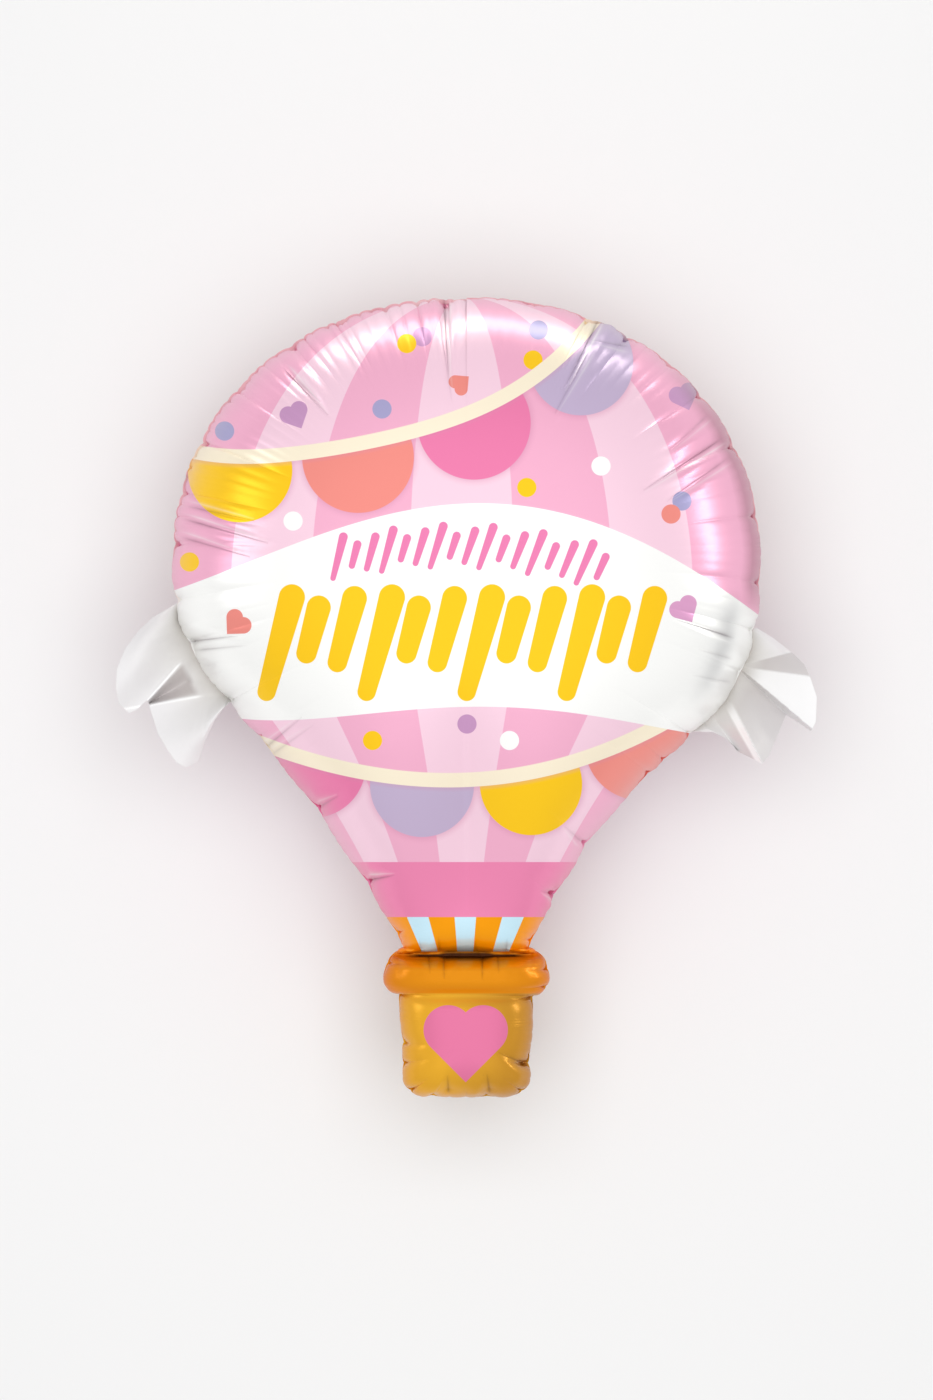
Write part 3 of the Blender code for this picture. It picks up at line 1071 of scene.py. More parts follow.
DOT_RADIUS = 0.0122
STRIPE_DOTS = (
    ((-0.056, 0.4575), Ink.PURPLE), ((-0.0759, 0.4489), Ink.YELLOW), ((-0.3072, 0.3378), Ink.BLUE),
    ((-0.1073, 0.3658), Ink.BLUE), ((0.0914, 0.4661), Ink.BLUE), ((0.2737, 0.2489), Ink.BLUE),
    ((0.2597, 0.2324), Ink.CORAL), ((-0.3518, 0.1715), Ink.YELLOW), ((0.0766, 0.2661), Ink.YELLOW),
    ((0.0845, 0.428), Ink.YELLOW), ((-0.1194, -0.0552), Ink.YELLOW), ((0.0006, -0.0343), Ink.PURPLE),
    ((-0.2203, 0.2235), Ink.WHITE), ((0.1708, 0.2934), Ink.WHITE), ((0.0546, -0.0552), Ink.WHITE),
)
STRIPE_MOTIFS = (
    *(Motif(Shape.DOT, middle, DOT_RADIUS, paint) for middle, paint in STRIPE_DOTS),
    Motif(Shape.HEART, (-0.217, 0.3562), 0.0185, Ink.PURPLE, 26),
    Motif(Shape.HEART, (-0.007, 0.3988), 0.0143, Ink.CORAL, 130),
    Motif(Shape.HEART, (0.277, 0.3802), 0.0185, Ink.PURPLE, 20),
)
BANNER_MOTIFS = (
    Motif(Shape.HEART, (-0.293, 0.0918), 0.0180, Ink.CORAL, -43),
    Motif(Shape.HEART, (0.2780, 0.1095), 0.0185, Ink.ORCHID, 30),
)
BASKET_MOTIFS = (Motif(Shape.HEART, (-0.0010, -0.4405), 0.0535, Ink.HEART_PINK),)

UPPER_STRING = ((-0.3346, 0.3092), (-0.2457, 0.3080), (-0.1607, 0.3156), (-0.0616, 0.3397),
                (0.0006, 0.3607), (0.0578, 0.3886), (0.1137, 0.4267), (0.1607, 0.4788))
LOWER_STRING = ((-0.2502, -0.0629), (-0.1607, -0.0889), (-0.0616, -0.1048), (0.0006, -0.1048),
                (0.0857, -0.0959), (0.1441, -0.0781), (0.2419, -0.0381))
BANNER_TOP = ((-0.3631, 0.1384), (-0.1886, 0.2057), (-0.0756, 0.2375), (0.0006, 0.2442),
              (0.0997, 0.2400), (0.1822, 0.2146), (0.2559, 0.1791), (0.3689, 0.1059))
BANNER_FOOT = ((-0.2851, -0.0273), (-0.2170, -0.0301), (-0.1547, -0.0241), (-0.0597, -0.0140),
               (0.0006, -0.0127), (0.0573, -0.0140), (0.1276, -0.0203), (0.1937, -0.0279),
               (0.2800, -0.0457))


@dataclass(frozen=True)
class Garland:
    """Half discs that hang from a string."""

    attribute: str
    discs: tuple[tuple[Pair, float, Ink], ...]


UPPER_GARLAND = Garland("upper_string", (
    ((-0.2877, 0.2883), 0.0665, Ink.YELLOW),
    ((-0.1378, 0.3048), 0.0710, Ink.CORAL),
    ((0.0095, 0.3480), 0.0720, Ink.HOT_PINK),
    ((0.1454, 0.4242), 0.0665, Ink.LAVENDER),
))
LOWER_GARLAND = Garland("lower_string", (
    ((-0.1949, -0.0864), 0.0670, Ink.HOT_PINK),
    ((-0.0565, -0.1118), 0.0660, Ink.LAVENDER),
    ((0.0819, -0.1105), 0.0650, Ink.YELLOW),
    ((0.2203, -0.0610), 0.0700, Ink.CORAL),
))


@dataclass(frozen=True)
class StrokeRow:
    """A row of slanted brush strokes on the banner, where a long one is followed by two shorter ones.

    The row's middle line is an arch that sinks towards its end, and the strokes stand off it by a
    wave with a length of three strokes. Their tilt grows along the row by its fan, in degrees.
    """

    paint: Ink
    count: int
    first_x: float
    last_x: float
    height: float
    half_lengths: Triple
    half_width: float
    tilt: float
    arch: float = 0.0
    sink: float = 0.0
    wave: float = 0.0
    fan: float = 0.0


STROKE_ROWS = (
    StrokeRow(Ink.STROKE_PINK, 17, -0.163, 0.171, 0.177, (0.027, 0.014, 0.021), 0.0046, -14,
              arch=0.020, sink=0.012, fan=-10),
    StrokeRow(Ink.YELLOW, 12, -0.238, 0.228, 0.078, (0.062, 0.030, 0.042), 0.0142, -15, wave=0.012),
)


@dataclass
class PrintPlan:
    """The print's long lines, worked out at each point of the front in the seam's plane."""

    outline: Outline
    depths: Depths
    stripe_angle: float = 19.8
    stripe_top_share: float = 0.6
    stripe_swell: float = 0.15
    swell_power: float = 1.6
    outer_stripe: float = 3.4
    stripe_shift: float = -0.006
    least_half_width: float = 0.01
    line_overruns: Pair = (0.06, 0.04)
    string_half_width: float = 0.0092
    band_top: float = -0.2096
    band_foot: float = -0.2794
    skirt_pitch: float = 0.0606
    skirt_taper: float = 0.25
    skirt_height: float = 0.043
    skirt_shift: float = -0.0015
    outer_skirt: float = 1.5
    rim_rise: float = 0.002
    rim_foot: float = -0.3765

    def over_line(self, place: Array, line: tuple[Pair, ...], degree: int = 4) -> Array:
        """The signed distance over a smooth line.

        The line is a polynomial fitted to its measured points. The distance is the height over it,
        shortened by its slope.

        Args:
            place: Places in the seam's plane, as rows that start with x and y.
            line: The line's measured points.
            degree: The polynomial's degree.

        Returns:
            One distance for each place.
        """
        points = np.array(line)
        shape = np.polyfit(points[:, 0], points[:, 1], degree)
        before, past = self.line_overruns
        x = np.clip(place[:, 0], points[0, 0] - before, points[-1, 0] + past)
        slope = np.polyval(np.polyder(shape), x)
        return (place[:, 1] - np.polyval(shape, x)) / np.sqrt(1 + slope**2)

    def stripe_phase(self, place: Array) -> Array:
        """How many stripes lie between a point and the middle one.

        The stripes are the meridians of a turned body, seen from the side: the arcsine of the
        distance across over the body's half width there, which grows a little towards the band. The
        outermost stripe runs on to the edge.

        Args:
            place: Places in the seam's plane, as rows that start with x and y.

        Returns:
            One number for each place.
        """
        top = self.outline.widest_y + self.stripe_top_share * self.outline.crown_height
        down = np.clip((top - place[:, 1]) / (top - self.band_top), 0, 1)
        swell = 1 + self.stripe_swell * down**self.swell_power
        half_width = np.maximum(self.outline.half_width_at(place[:, 1]) * swell, self.least_half_width)
        share = (place[:, 0] - self.stripe_shift) / half_width
        phase = np.degrees(np.arcsin(np.clip(share, -1, 1))) / self.stripe_angle
        return np.clip(phase, -self.outer_stripe, self.outer_stripe)

    def skirt_phase(self, place: Array) -> Array:
        """How many pitches lie between a point and the middle stripe of the skirt, which narrows.

        Args:
            place: Places in the seam's plane, as rows that start with x and y.

        Returns:
            One number for each place.
        """
        down = np.clip((self.band_foot - place[:, 1]) / self.skirt_height, 0, 1)
        phase = (place[:, 0] - self.skirt_shift) / (self.skirt_pitch * (1 - self.skirt_taper * down))
        return np.clip(phase, -self.outer_skirt, self.outer_skirt)

    def apply(self, piece: bpy.types.Object, points: Array, fronts: Array) -> None:
        """Stores the print's place and its lines on a piece.

        Args:
            piece: The body.
            points: Its points.
            fronts: 1 at points of the front, 0 at the back.
        """
        place = self.depths.flattened(points)
        add_vectors(piece, "print_place", np.column_stack([place, fronts]))
        for at, layer in enumerate(fold_layers()):
            aside, strength = nearest_fold(place, layer)
            add_vectors(piece, f"fold_{at}", np.column_stack([aside, strength * fronts, 0 * aside]))
        add_values(piece, "front", fronts)
        add_values(piece, "stripes", self.stripe_phase(place))
        add_values(piece, "skirt", self.skirt_phase(place))
        add_values(piece, UPPER_GARLAND.attribute, self.over_line(place, UPPER_STRING))
        add_values(piece, LOWER_GARLAND.attribute, self.over_line(place, LOWER_STRING, degree=3))
        top, foot = (self.over_line(place, line) for line in (BANNER_TOP, BANNER_FOOT))
        add_values(piece, "banner", np.maximum(top, -foot))


Socket = bpy.types.NodeSocket


class Nodes:
    """Builds one material's node tree."""

    def __init__(self, name: str) -> None:
        """Makes an empty material with the given name.

        Args:
            name: What the material is called.
        """
        self.material = bpy.data.materials.new(name)
        self.material.use_nodes = True
        self.tree = self.material.node_tree
        self.tree.nodes.clear()

    def put(self, target: Socket, value: object) -> None:
        """Links a socket to its source, or sets its plain value or an ink's colour."""
        if isinstance(value, Socket):
            self.tree.links.new(value, target)
        else:
            target.default_value = value.colour if isinstance(value, Ink) else value

    def add(self, kind: str, values: dict[str | int, object] | None = None,
            **settings: object) -> bpy.types.Node:
        """Adds a node.

        Args:
            kind: The node's type, without the words ShaderNode.
            values: What its inputs hold, by name or number.
            settings: Its own properties.

        Returns:
            The node.
        """
        node = self.tree.nodes.new("ShaderNode" + kind)
        for name, value in settings.items():
            setattr(node, name, value)
        for name, value in (values or {}).items():
            self.put(node.inputs[name], value)
        return node

    def math(self, operation: str, *values: object, clamp: bool = False) -> Socket:
        """One step of arithmetic on numbers."""
        node = self.add("Math", dict(enumerate(values)), operation=operation, use_clamp=clamp)
        return node.outputs[0]

    def product(self, first: Socket, *others: object) -> Socket:
        """Multiplies numbers, from the first on."""
        for other in others:
            first = self.math("MULTIPLY", first, other)
        return first

    def ramp(self, value: Socket, low: float, high: float) -> Socket:
        """Goes evenly from 0 at low to 1 at high, which may be the lower one, and stays there."""
        rise = 1 / (high - low)
        return self.math("MULTIPLY_ADD", value, rise, -low * rise, clamp=True)

    def number(self, name: str) -> Socket:
        """A number that the mesh holds at its points."""
        return self.add("Attribute", attribute_name=name).outputs["Fac"]

    def vector(self, name: str) -> Socket:
        """Three numbers that the mesh holds at its points."""
        return self.add("Attribute", attribute_name=name).outputs["Vector"]

    def parts(self, vector: Socket) -> tuple[Socket, ...]:
        """The three numbers of a vector."""
        return tuple(self.add("SeparateXYZ", {0: vector}).outputs)

    def join(self, across: Socket, up: Socket) -> Socket:
        """A vector of two numbers."""
        return self.add("CombineXYZ", {0: across, 1: up}).outputs[0]

    def film(self) -> tuple[Socket, ...]:
        """The place on the film: along the seam, and in from it or out along a tail."""
        return self.parts(self.add("UVMap", uv_map="film").outputs[0])

    def body(self) -> Socket:
        """The place on the balloon, in metres."""
        return self.add("TexCoord").outputs["Object"]

    def distance(self, place: Socket, other: Triple) -> Socket:
        """The distance between a place and another one."""
        return self.add("VectorMath", {0: place, 1: other}, operation="DISTANCE").outputs["Value"]

    def noise(self, place: Socket, scale: float, detail: float, roughness: float = 0.5) -> Socket:
        """Smooth random values from 0 to 1."""
        values = {"Vector": place, "Scale": scale, "Detail": detail, "Roughness": roughness}
        return self.add("TexNoise", values).outputs["Fac"]

    def _blend(self, kind: str, share: object, below: object, above: object) -> Socket:
        """One colour over another, by one of Blender's ways to blend them: inputs 6 and 7.

        Args:
            kind: The way to blend, by Blender's name for it.
            share: How much of the upper colour shows.
            below: The lower colour.
            above: The upper colour.

        Returns:
            The blended colour.
        """
        node = self.add("Mix", data_type="RGBA", blend_type=kind)
        for at, value in ((0, share), (6, below), (7, above)):
            self.put(node.inputs[at], value)
        return node.outputs[2]

    def mix(self, share: object, below: object, above: object) -> Socket:
        """Lays one colour over another."""
        return self._blend("MIX", share, below, above)

    def darken(self, share: object, colour: Socket, by: object) -> Socket:
        """Multiplies a colour by another one, by a share from 0 to 1."""
        return self._blend("MULTIPLY", share, colour, by)

    def falling(self, distance: Socket, reach: float) -> Socket:
        """An exponential fall from 1, by the distance over the reach."""
        return self.math("POWER", math.e, self.math("MULTIPLY", distance, -1 / reach))

    def bell(self, value: Socket, middle: float, width: float) -> Socket:
        """A bell curve: an exponential fall from 1 by the square of the distance over the width."""
        gap = self.math("MULTIPLY_ADD", value, 1 / width, -middle / width)
        return self.falling(self.math("MULTIPLY", gap, gap), 1.0)

    def inside(self, distance: Socket, softness: float = INK_BORDER) -> Socket:
        """1 where a signed distance is below 0, with a narrow soft edge."""
        return self.ramp(distance, softness / 2, -softness / 2)

    def finish(self, shader: Socket) -> bpy.types.Material:
        """Links the shader to the output and gives the material."""
        self.add("OutputMaterial", {"Surface": shader})
        return self.material


@dataclass(frozen=True)
class PrintedFoil:
    """The printed foil: inks over a metallic film, with a clear gloss, fine creases and painted shade and
    highlights.

    A pair named as a region goes from where it starts to where it is full, in metres: across the
    balloon, up it, or in from the seam.
    """

    plan: PrintPlan
    metallic: float = 0.34
    roughness: float = 0.30
    specular: float = 0.18
    coat: float = 0.12
    coat_roughness: float = 0.17
    stripe_softness: float = 0.0025
    skirt_share: float = 0.225
    skirt_softness: float = 0.00625
    gold_shade_region: Pair = (-0.032, 0.048)
    disc_shadow: Triple = (0.010, 1.6, 0.42)
    string_shadow: Pair = (0.006, 0.30)
    heart_half_width: float = 0.6036
    heart_drop: float = 0.55
    stroke_taper: float = 0.04
    edge_shade_reach: float = 0.024
    edge_shade_share: float = 0.70
    flange_share: float = 0.50
    right_region: Pair = (0.25, 0.32)
    upper_region: Pair = (0.10, 0.14)
    banner_region: Pair = (-0.02, 0.02)
    turned_shade_region: Pair = (0.092, 0.060)
    hollow_shade_place: float = 0.108
    hollow_shade_width: float = 0.021
    fold_width: float = 0.0012
    fold_depth: float = 0.0018
    fold_shade_share: float = 0.85
    glint_offset: float = 3
    glint_width: float = 0.8
    glint_share: float = 0.60
    glint_region: Pair = (-0.28, -0.26)
    waist_shade_y: float = -0.3285
    waist_shade_height: float = 0.0018
    waist_shade_swell: float = 0.0030
    waist_shade_rim: float = 1.5
    waist_swell_region: Pair = (0.036, 0.024)
    waist_region: Pair = (0.08, 0.06)
    crumple: float = 0.0011
    crumple_scale: float = 11.0
    crumple_roughness: float = 0.4
    ripple: float = 0.0040
    ripple_reach: float = 0.030
    ripple_detail: float = 1.5
    ripple_rates: Pair = (400.0, 9.0)
    cluster_rates: Pair = (21.0, 5.0)
    cluster_region: Pair = (0.44, 0.64)

    def _dot(self, nodes: Nodes, place: Socket, middle: Pair, radius: float) -> Socket:
        """The signed distance to a round dot on the front, where the place's third number is 1."""
        return nodes.math("SUBTRACT", nodes.distance(place, (*middle, 1)), radius)

    def _heart(self, nodes: Nodes, place: Socket, motif: Motif) -> Socket:
        """The signed distance to a heart: a square on its corner with a disc on each upper side.

        The place is moved to the heart's tip, turned back and scaled, so that the square's corners
        are the points (0, 0), (0.5, 0.5), (0, 1) and (-0.5, 0.5).

        Args:
            nodes: The material's nodes.
            place: The print's place.
            motif: The heart.

        Returns:
            The distance in metres.
        """
        unit = motif.size / self.heart_half_width
        turn = math.radians(motif.tilt)
        drop = self.heart_drop * unit
        tip = (motif.middle[0] + drop * math.sin(turn), motif.middle[1] - drop * math.cos(turn), 0)
        own = nodes.add("Mapping", {"Vector": place, "Location": tip, "Rotation": (0, 0, turn),
                                    "Scale": (unit, unit, unit)}, vector_type="TEXTURE")
        x, y, _ = nodes.parts(own.outputs[0])
        x = nodes.math("ABSOLUTE", x)
        lobe = nodes.distance(nodes.join(x, y), (0.25, 0.75, 0))
        lobe = nodes.math("SUBTRACT", lobe, math.sqrt(0.125))
        upper = nodes.math("ADD", nodes.math("ADD", x, y), -1.0)
        square = nodes.math("MAXIMUM", upper, nodes.math("SUBTRACT", x, y))
        return nodes.product(nodes.math("MINIMUM", lobe, nodes.product(square, math.sqrt(0.5))), unit)

    @staticmethod
    def _row_height(nodes: Nodes, row: StrokeRow, share: Socket) -> Socket:
        """The height of a row's middle line at a share of its length: an arch that sinks.

        Args:
            nodes: The material's nodes.
            row: The row of strokes.
            share: The share, from 0 to 1.

        Returns:
            The height in metres.
        """
        arch = nodes.math("SINE", nodes.product(share, math.pi))
        height = nodes.math("MULTIPLY_ADD", arch, row.arch, row.height)
        return nodes.math("MULTIPLY_ADD", share, -row.sink, height)

    @staticmethod
    def _row_tilt(nodes: Nodes, row: StrokeRow, share: Socket) -> Socket:
        """The strokes' tilt at a share of a row's length, in radians."""
        return nodes.math("MULTIPLY_ADD", share, math.radians(row.fan), math.radians(row.tilt))

    def _stroke_row(self, nodes: Nodes, place: Socket, row: StrokeRow) -> Socket:
        """The signed distance to the nearest stroke of a row.

        A stroke is a rod with round ends, a little thinner at its foot. The place slides back along
        the tilt, which gives the number of its stroke, and is then measured from that stroke's
        middle, across the stroke and along it. Half a stroke's length is a parabola through the
        row's three half lengths, by the number's rest over three.

        Args:
            nodes: The material's nodes.
            place: The print's place.
            row: The row of strokes.

        Returns:
            The distance in metres.
        """
        x, y, _ = nodes.parts(place)
        pitch = (row.last_x - row.first_x) / (row.count - 1)
        share = nodes.ramp(x, row.first_x, row.last_x)
        over = nodes.math("SUBTRACT", y, self._row_height(nodes, row, share))
        lean = nodes.math("TANGENT", self._row_tilt(nodes, row, share))
        step = nodes.math("MULTIPLY_ADD", over, lean, x)
        step = nodes.math("MULTIPLY_ADD", step, 1 / pitch, -row.first_x / pitch)
        step = nodes.math("MINIMUM", nodes.math("MAXIMUM", step, 0.0), row.count - 1.0)
        step = nodes.math("ROUND", step)
        share = nodes.math("DIVIDE", step, row.count - 1.0)
        wave = nodes.math("COSINE", nodes.product(step, 2 * math.pi / 3))
        middle = nodes.math("MULTIPLY_ADD", wave, -row.wave, self._row_height(nodes, row, share))
        aside = nodes.math("SUBTRACT", x, nodes.math("MULTIPLY_ADD", step, pitch, row.first_x))
        over = nodes.math("SUBTRACT", y, middle)
        tilt = self._row_tilt(nodes, row, share)
        cosine, sine = nodes.math("COSINE", tilt), nodes.math("SINE", tilt)
        across = nodes.math("MULTIPLY_ADD", aside, cosine, nodes.product(over, sine))
        along = nodes.math("SUBTRACT", nodes.product(over, cosine), nodes.product(aside, sine))
        third = nodes.math("MODULO", step, 3.0)
        long, short, fair = row.half_lengths
        bend = (long - 2 * short + fair) / 2
        half = nodes.math("MULTIPLY_ADD", third, bend, short - long - bend)
        half = nodes.math("MULTIPLY_ADD", third, half, long)
        past = nodes.math("MAXIMUM", nodes.math("SUBTRACT", nodes.math("ABSOLUTE", along), half), 0.0)
        gap = nodes.add("VectorMath", {0: nodes.join(across, past)}, operation="LENGTH").outputs["Value"]
        width = nodes.math("MULTIPLY_ADD", along, self.stroke_taper, row.half_width)
        return nodes.math("SUBTRACT", gap, width)

    def _motifs(self, nodes: Nodes, place: Socket, colour: Socket, motifs: tuple[Motif, ...]) -> Socket:
        """Prints dots and hearts over a colour."""
        for motif in motifs:
            if motif.shape is Shape.DOT:
                distance = self._dot(nodes, place, motif.middle, motif.size)
            else:
                distance = self._heart(nodes, place, motif)
            colour = nodes.mix(nodes.inside(distance), colour, motif.paint)
        return colour

    def _garland(self, nodes: Nodes, place: Socket, colour: Socket, garland: Garland) -> Socket:
        """Prints half discs with a soft shadow, and the string that they hang from.

        A shadow is named by its reach and its share, and a disc's also by the power of its fall.

        Args:
            nodes: The material's nodes.
            place: The print's place.
            colour: The colour under it.
            garland: The garland.

        Returns:
            The colour with the garland.
        """
        over = nodes.number(garland.attribute)
        below = nodes.inside(over)
        reach, power, share = self.disc_shadow
        for middle, radius, paint in garland.discs:
            distance = self._dot(nodes, place, middle, radius)
            shadow = nodes.product(nodes.math("POWER", nodes.ramp(distance, reach, 0), power), share, below)
            colour = nodes.mix(shadow, colour, Ink.SHADE)
            colour = nodes.mix(nodes.product(nodes.inside(distance), below), colour, paint)
        away = nodes.math("SUBTRACT", nodes.math("ABSOLUTE", over), self.plan.string_half_width)
        reach, share = self.string_shadow
        shadow = nodes.product(nodes.ramp(away, reach, 0), below, share)
        colour = nodes.mix(shadow, colour, Ink.SHADE)
        return nodes.mix(nodes.inside(away), colour, Ink.CREAM)

    def _front(self, nodes: Nodes, place: Socket, stripes: Socket) -> Socket:
        """Prints the dots, the hearts, the garlands and the banner with its strokes over the stripes.

        Args:
            nodes: The material's nodes.
            place: The print's place.
            stripes: The striped foil.

        Returns:
            The front's colour.
        """
        colour = self._motifs(nodes, place, stripes, STRIPE_MOTIFS)
        for garland in (UPPER_GARLAND, LOWER_GARLAND):
            colour = self._garland(nodes, place, colour, garland)
        colour = nodes.mix(nodes.inside(nodes.number("banner")), colour, Ink.WHITE)
        colour = self._motifs(nodes, place, colour, BANNER_MOTIFS)
        for row in STROKE_ROWS:
            stroke = nodes.inside(self._stroke_row(nodes, place, row))
            colour = nodes.mix(stroke, colour, row.paint)
        return colour

    def _basket(self, nodes: Nodes, place: Socket) -> Socket:
        """The basket's gold, with painted shade on the right, and its heart on the front.

        Args:
            nodes: The material's nodes.
            place: The print's place.

        Returns:
            The basket's colour.
        """
        # Painted shade: the gold darkens towards the basket's right side.
        gold_shade = nodes.ramp(nodes.parts(place)[0], *self.gold_shade_region)
        gold = nodes.mix(gold_shade, Ink.GOLD, Ink.DEEP_GOLD)
        return nodes.mix(nodes.number("front"), gold, self._motifs(nodes, place, gold, BASKET_MOTIFS))

    def _colour(self, nodes: Nodes) -> Socket:
        """The whole print: the striped envelope, and the band, skirt, rim and basket below it.

        Args:
            nodes: The material's nodes.

        Returns:
            The colour, with the basket's painted shade, before the other painted shade is laid over it.
        """
        plan = self.plan
        place = nodes.vector("print_place")
        height = nodes.parts(place)[1]
        stripe = nodes.math("SUBTRACT", nodes.math("PINGPONG", nodes.number("stripes"), 1.0), 0.5)
        stripe = nodes.ramp(stripe, -self.stripe_softness, self.stripe_softness)
        stripes = nodes.mix(stripe, Ink.LIGHT_PINK, Ink.MID_PINK)
        skirt = nodes.math("PINGPONG", nodes.number("skirt"), 0.5)
        skirt = nodes.math("SUBTRACT", self.skirt_share, skirt)
        skirt = nodes.ramp(skirt, -self.skirt_softness, self.skirt_softness)
        skirt = nodes.mix(skirt, Ink.ORANGE, Ink.SKY)
        colour = nodes.mix(nodes.number("front"), stripes, self._front(nodes, place, stripes))
        for top, paint in ((plan.band_top, Ink.BAND_PINK),
                           (plan.band_foot, skirt),
                           (plan.outline.waist_y + plan.rim_rise, Ink.RIM_ORANGE),
                           (plan.rim_foot, self._basket(nodes, place))):
            below = nodes.inside(nodes.math("SUBTRACT", height, top))
            colour = nodes.mix(below, colour, paint)
        return colour

    def _at_seam(self, nodes: Nodes, colour: Socket, across: Socket, height: Socket) -> Socket:
        """Paints shade where the foil turns away at the seam.

        The painted shade at the edge is deepest on the upper right, and the flange is paler. The banner
        has a soft grey painted shade of a hollow near its right end, a bell curve of the distance from the
        seam.

        Args:
            nodes: The material's nodes.
            colour: The colour under it.
            across: The print's place across the balloon.
            height: The print's place up the balloon.

        Returns:
            The colour with the painted shade.
        """
        inward = nodes.film()[1]
        foil = nodes.math("GREATER_THAN", inward, 0.0)
        # Painted shade along the whole seam: the colour darkened by itself, falling off inwards.
        edge = nodes.product(nodes.falling(nodes.math("ABSOLUTE", inward), self.edge_shade_reach), foil)
        colour = nodes.darken(nodes.product(edge, self.edge_shade_share), colour, colour)
        right = nodes.ramp(across, *self.right_region)
        upper = nodes.ramp(height, *self.upper_region)
        flange = nodes.math("MULTIPLY_ADD", foil, -self.flange_share, self.flange_share)
        colour = nodes.mix(nodes.product(flange, upper), colour, Ink.FLANGE)
        # Painted shade where the foil turns away on the upper right.
        turned = nodes.product(nodes.ramp(inward, *self.turned_shade_region), foil, right, upper)
        colour = nodes.darken(turned, colour, Ink.TURNED_AWAY)
        on_banner = nodes.ramp(height, *self.banner_region)
        on_banner = nodes.product(on_banner, nodes.math("SUBTRACT", 1.0, upper))
        # Painted shade of the hollow near the banner's right end.
        hollow = nodes.bell(inward, self.hollow_shade_place, self.hollow_shade_width)
        return nodes.darken(nodes.product(hollow, right, on_banner), colour, Ink.BANNER_SHADE)

    def _at_folds(self, nodes: Nodes, colour: Socket, height: Socket,
                  folds: tuple[Socket, Socket]) -> Socket:
        """Paints shade into the long folds, and a painted highlight beside those of the envelope.

        Args:
            nodes: The material's nodes.
            colour: The colour under it.
            height: The print's place up the balloon.
            folds: The painted shade lines and the painted highlight lines.

        Returns:
            The colour with the folds' painted shade and highlights.
        """
        lines, glints = folds
        glints = nodes.product(glints, nodes.ramp(height, *self.glint_region), self.glint_share)
        # Painted highlight beside each fold, mixed towards white, then painted shade in the fold.
        colour = nodes.mix(glints, colour, Ink.WHITE)
        return nodes.darken(nodes.product(lines, self.fold_shade_share), colour, Ink.FOLD)

    def _at_waist(self, nodes: Nodes, colour: Socket, across: Socket, height: Socket) -> Socket:
        """Shades the deep crease across the waist, which is wider in the middle.

        Args:
            nodes: The material's nodes.
            colour: The colour under it.
            across: The print's place across the balloon.
            height: The print's place up the balloon.

        Returns:
            The shaded colour.
        """
        across = nodes.math("ABSOLUTE", across)
        away = nodes.math("ABSOLUTE", nodes.math("SUBTRACT", height, self.waist_shade_y))
        middle = nodes.ramp(across, *self.waist_swell_region)
        reach = nodes.math("MULTIPLY_ADD", middle, self.waist_shade_swell, self.waist_shade_height)
        away = nodes.math("DIVIDE", away, reach)
        shade = nodes.math("SUBTRACT", self.waist_shade_rim, away, clamp=True)
        shade = nodes.product(shade, nodes.ramp(across, *self.waist_region))
        return nodes.darken(shade, colour, Ink.WAIST_SHADE)

    def _fold_lines(self, nodes: Nodes) -> tuple[Socket, Socket]:
        """The long sharp folds as thin lines, and the painted highlight along one side of each.

        A line is 1 in the fold and falls off exponentially beside it. The lines cut the bump, and in the
        colour they are painted shade.

        Args:
            nodes: The material's nodes.

        Returns:
            The painted shade lines and the painted highlight lines, each from 0 to 1.
        """
        kinds: tuple[list[Socket], list[Socket]] = ([], [])
        for at in range(len(fold_layers())):
            aside, strength, _ = nodes.parts(nodes.vector(f"fold_{at}"))
            line = nodes.falling(nodes.math("ABSOLUTE", aside), self.fold_width)
            beside = nodes.math("ABSOLUTE", nodes.math("ADD", aside, -self.glint_offset * self.fold_width))
            glint = nodes.falling(beside, self.glint_width * self.fold_width)
            for kind, shape in zip(kinds, (line, glint)):
                kind.append(nodes.product(shape, strength))
        lines, glints = (reduce(partial(nodes.math, "MAXIMUM"), kind) for kind in kinds)
        return lines, glints

    def _bump(self, nodes: Nodes, folds: Socket) -> Socket:
        """The fine relief, in metres.

        Clusters of radial wrinkles run in from the seam and fade, over a faint crumple of the whole
        film, and the long folds are cut into it.

        Args:
            nodes: The material's nodes.
            folds: The dark lines.

        Returns:
            The normal that the relief gives.
        """
        film = nodes.film()
        ripple, cluster = (nodes.join(*(nodes.product(way, rate) for way, rate in zip(film, rates)))
                           for rates in (self.ripple_rates, self.cluster_rates))
        ripple = nodes.math("SUBTRACT", nodes.noise(ripple, 1.0, self.ripple_detail), 0.5)
        ripple = nodes.math("ABSOLUTE", ripple)
        cluster = nodes.ramp(nodes.noise(cluster, 1.0, 1.0), *self.cluster_region)
        inward = nodes.math("ABSOLUTE", nodes.math("ADD", film[1], -FLANGE_MAP))
        ripple = nodes.product(ripple, cluster, nodes.falling(inward, self.ripple_reach))
        height = nodes.product(nodes.noise(nodes.body(), self.crumple_scale, 2.0, self.crumple_roughness),
                               self.crumple)
        height = nodes.math("MULTIPLY_ADD", ripple, -self.ripple, height)
        height = nodes.math("MULTIPLY_ADD", folds, -self.fold_depth, height)
        return nodes.add("Bump", {"Height": height, "Strength": 1.0, "Distance": 1.0}).outputs[0]

